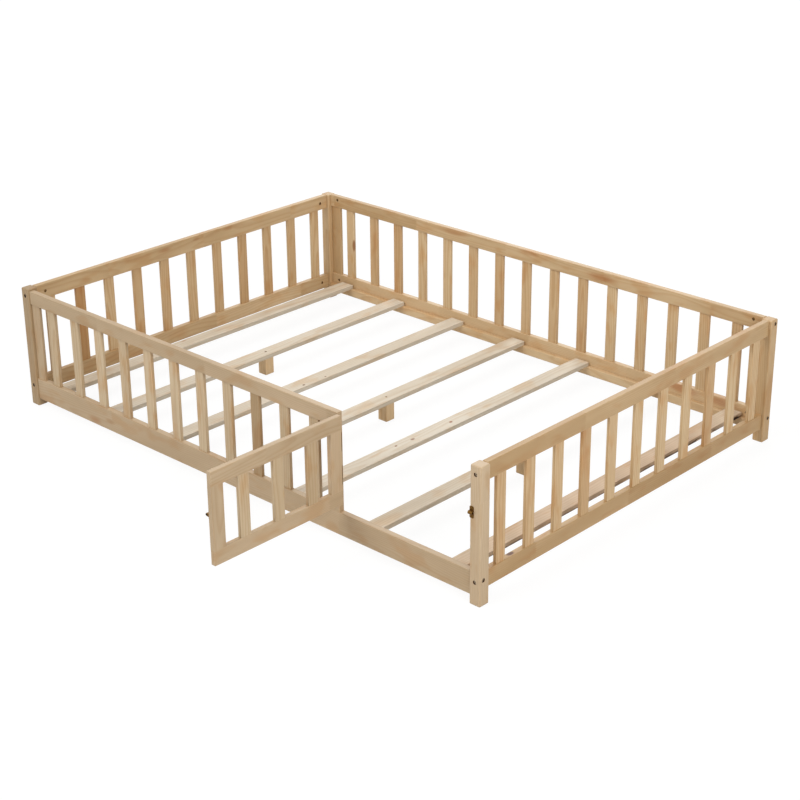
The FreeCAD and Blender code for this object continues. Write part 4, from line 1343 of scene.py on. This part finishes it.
@dataclass
class Latch:
    """The sliding bolt on the door and its keeper on the post. Sizes are in mm, as the CAD
    has them with the door open."""
    face: float = 497.3         # the door's outer face in X
    axis: float = 488.6         # the sliding bolt's axis in X
    near: float = -1148.8       # ends of the plate in Y
    far: float = -1194.8
    rise: float = 281.0
    tall: float = 26.0
    sheet: float = 1.2
    barrel: float = 4.4         # radius
    bolt: float = 2.5           # radius
    play: float = 0.06
    travel: float = 24.0
    slot: float = 1.95          # half the width of the knob's slot
    slot_deep: float = 6.0
    corner: float = 4.0         # radius of the plate's corners
    screws: tuple[float, float] = (5.0, 9.0)        # in from the plate's ends, up and down
    post: float = -715.0        # the post's face in Y
    shut: float = -719.2        # the bolt's axis in Y when the door is shut
    keeper: tuple[float, float] = (988.0, 1002.0)
    keeper_tall: float = 35.0
    keeper_play: float = 0.6
    keeper_corner: float = 3.0
    keeper_screws: float = 13.0 # up and down
    knob: tuple[tuple[float, float], ...] = (
        (0.0, 13.0), (1.6, 12.9), (2.7, 12.2), (3.2, 11.0), (3.1, 10.2), (2.2, 9.6),
        (1.5, 9.0), (1.5, 0.0), (0.0, 0.0))     # radius and height

    @property
    def stem(self) -> float:
        """The knob's place in Y."""
        return self.near - (self.near - self.far - self.travel) / 2

    def build(self, palette: Palette, tree: FastenerTree) -> None:
        """Makes the plate with its barrel, the bolt, the keeper and their screws.

        Args:
            palette: the finishes.
            tree: the tree that sets a fastener on each point.
        """
        brass, (inset, apart) = palette.brass, self.screws
        Plated("door", "latch_plate", 0.3 * MM).dress(self.make_plate(), brass)
        Plated("latch_bolt", "latch_rod", 0.0).dress(self.make_bolt(), palette.black)
        Plated("bed", "latch_keeper", 0.3 * MM).dress(self.make_keeper(), brass)
        FastenerSet("latch_screws", DOMED_SCREW, [
            (mm(self.face - self.sheet, y, z), RIGHT)
            for y in (self.near - inset, self.far + inset)
            for z in (self.rise - apart, self.rise + apart)],
            "brass_plate", "door").build(tree, brass)
        FastenerSet("keeper_screws", DOMED_SCREW, [
            (mm(sum(self.keeper) / 2, self.post - self.sheet, z), BACK)
            for z in (self.rise - self.keeper_screws, self.rise + self.keeper_screws)],
            "brass_plate").build(tree, brass)

    def make_plate(self) -> Object:
        """Makes the latch's plate with the slotted barrel that holds the bolt."""
        half = self.tall / 2
        piece = plate("latch_plate_pressed",
                      mm(self.face - self.sheet, self.far, self.rise - half),
                      mm(self.face, self.near, self.rise + half), Axis.X,
                      self.corner * MM)
        start = mm(self.axis, self.near, self.rise)
        long = (self.near - self.far) * MM
        combine(piece, [
            drum("barrel", start, FRONT, long, self.barrel * MM, 36),
            block("web", mm(self.axis, self.far, self.rise - self.barrel),
                  mm(self.face - self.sheet / 2, self.near, self.rise + self.barrel))],
            "UNION")
        combine(piece, [
            drum("bore", start + BACK * MM, FRONT, long + 2 * MM,
                 (self.bolt + self.play) * MM, 32),
            block("slot", mm(self.axis - self.slot_deep,
                             self.stem - self.travel - self.slot, self.rise - self.slot),
                  mm(self.axis, self.stem + self.slot, self.rise + self.slot))])
        return piece

    def make_bolt(self) -> Object:
        """Makes the sliding bolt with its turned knob."""
        piece = drum("latch_rod_turned", mm(self.axis, self.near, self.rise), FRONT,
                     (self.near - self.far + 1) * MM, self.bolt * MM, 32)
        round_edges(piece, 0.6 * MM, METAL_EDGE)
        combine(piece, [turned(
            "knob", [(radius * MM, height * MM) for radius, height in self.knob],
            Matrix.Translation(mm(self.axis, self.stem, self.rise)) @ turn_to(LEFT))],
            "UNION")
        return piece

    def make_keeper(self) -> Object:
        """Makes the keeper: a plate with a round bridge for the bolt."""
        left, right = self.keeper
        half, inner = self.keeper_tall / 2, self.bolt + self.keeper_play
        outer = inner + 2 * self.sheet
        piece = plate("latch_keeper_pressed",
                      mm(left, self.post - self.sheet, self.rise - half),
                      mm(right, self.post, self.rise + half), Axis.Y,
                      self.keeper_corner * MM)
        start = mm(left, self.shut, self.rise)
        combine(piece, [
            drum("bridge", start, RIGHT, (right - left) * MM, outer * MM, 36),
            block("web", mm(left, self.shut, self.rise - outer),
                  mm(right, self.post - self.sheet / 2, self.rise + outer))], "UNION")
        # the second block takes off what stands out behind the plate
        combine(piece, [
            drum("bore", start - RIGHT * MM, RIGHT, (right - left + 2) * MM, inner * MM, 32),
            block("post", mm(left - 1, self.post, self.rise - outer - 1),
                  mm(left + 19, self.post + 10, self.rise + outer + 1))])
        return piece


# ---- studio ----------------------------------------------------------------------------
class Backdrop(Wiring):
    """The shader of something that looks white to the camera but lights the bed evenly."""

    def seen(self) -> NodeSocket:
        """1 where the camera sees it, also in a reflection or through glass."""
        share = self.add("ShaderNodeLightPath", out="Is Camera Ray")
        rays = share.node.outputs
        for name in ("Is Glossy Ray", "Is Transmission Ray"):
            share = self.add(MATH + "MAXIMUM", (share, rays[name]))
        return share


@dataclass
class Studio:
    """A white room without walls, with soft light from above and in front."""
    floor_size: float = 60.0
    floor_glow: float = 1.06
    floor_near: float = 0.86    # how white the floor is near the bed, 1 far off
    floor_plain: tuple[float, float] = (2.0, 5.0)   # m from the bed where it goes white
    room_light: float = 0.21
    camera_place: Triple = (3.654, -3.801, 2.424)
    heading: float = 132.97     # degrees from +X
    dip: float = 23.41          # degrees below the horizon
    roll: float = -0.342        # degrees
    lens: float = 78.38         # mm on the sensor
    sensor: float = 36.0        # mm
    shift: tuple[float, float] = (-0.0138, -0.0254)

    def build(self) -> None:
        """Sets the camera, the floor, the lamps and the world."""
        self.camera()
        self.floor()
        self.lamp("key", (-2.5, -10, 9), (0, 0, 0.2), 7, 745)
        self.lamp("fill", (9, -3, 5.5), (0.2, 0, 0.2), 6, 565)
        self.lamp("top", (0, 0.5, 7), (0, 0, 0), 6, 135)
        self.lamp("rear", (-6.5, 9, 6), (0, 0, 0.2), 6, 430)
        self.world()
        bpy.context.scene.view_settings.view_transform = "Standard"

    def camera(self) -> None:
        """The photograph's camera."""
        heading, dip, roll = map(math.radians, (self.heading, -self.dip, self.roll))
        forward = Vector((math.cos(heading) * math.cos(dip),
                          math.sin(heading) * math.cos(dip), math.sin(dip)))
        right = forward.cross(UP).normalized()
        up = right.cross(forward)
        across = right * math.cos(roll) + up * math.sin(roll)
        upright = up * math.cos(roll) - right * math.sin(roll)
        data = bpy.data.cameras.new("camera")
        data.lens, data.sensor_width = self.lens, self.sensor
        data.shift_x, data.shift_y = self.shift
        data.clip_end = 100.0
        thing = new_object("camera", data)
        turn = Matrix((across, upright, -forward)).transposed().to_4x4()
        thing.matrix_world = Matrix.Translation(self.camera_place) @ turn
        bpy.context.scene.camera = thing

    def floor(self) -> None:
        """A matt sheet that looks white far off and takes the bed's shadow near it."""
        half = self.floor_size / 2
        mesh = bpy.data.meshes.new("floor")
        mesh.from_pydata([(-half, -half, 0), (half, -half, 0), (half, half, 0),
                          (-half, half, 0)], [], [(0, 1, 2, 3)])
        paper = bpy.data.materials.new("white_paper_sweep")
        paper.use_nodes = True
        wiring = Backdrop(paper.node_tree)
        add = wiring.add
        away = add(VECTOR + "LENGTH", (add("ShaderNodeTexCoord", out="Object"),), "Value")
        share = add(TIMES, (wiring.seen(), add(RANGE, (away, *self.floor_plain,
                                                  self.floor_near))))
        wiring.end(SURFACE, add("ShaderNodeMixShader", (
            share, add("ShaderNodeBsdfDiffuse", (linear("#e6e6e4"),)),
            add("ShaderNodeEmission", ((1, 1, 1, 1), self.floor_glow)))))
        mesh.materials.append(paper)
        new_object("floor", mesh)

    def lamp(self, name: str, place: Triple, target: Triple, size: float,
             power: float) -> None:
        """A square soft lamp.

        Args:
            name: its name.
            place: where it hangs.
            target: what it is aimed at.
            size: its side.
            power: its power in watts.
        """
        data = bpy.data.lights.new(name, "AREA")
        data.shape, data.size, data.energy = "SQUARE", size, power
        thing = new_object(name, data)
        thing.location = place
        thing.rotation_mode = "QUATERNION"
        thing.rotation_quaternion = (Vector(target) - Vector(place)).to_track_quat("-Z", "Y")

    def world(self) -> None:
        """Even light all round, and white where the camera sees past the floor."""
        world = bpy.data.worlds.new("white_room")
        bpy.context.scene.world = world
        world.use_nodes = True
        wiring = Backdrop(world.node_tree)
        even, white = (wiring.add("ShaderNodeBackground", ((1, 1, 1, 1), strength))
                       for strength in (self.room_light, 1.0))
        wiring.end("ShaderNodeOutputWorld", wiring.add("ShaderNodeMixShader", (
            wiring.seen(), even, white)))


def main() -> None:
    """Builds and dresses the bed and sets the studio."""
    logging.basicConfig(level=logging.INFO, format="%(name)s %(message)s")
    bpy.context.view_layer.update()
    palette = Palette()
    hardware = Hardware()
    bars = BarRowTree()
    fasteners = FastenerTree()
    for part in (Posts(), EndPanel("left", 0.35, {2: 0.75, 4: 0.4, 5: 0.35, 7: 0.35, 8: 0.45}),
                 EndPanel("right", 0.6, {4: 0.4, 9: 0.4}), BackPanel(), FrontFence(),
                 Door(), SlatBase()):
        part.build(hardware, bars, palette)
        part.dress(palette)
    hardware.build(fasteners, palette)
    HingePair().build(palette, fasteners)
    Latch().build(palette, fasteners)
    Studio().build()


if __name__ == "__main__":
    main()
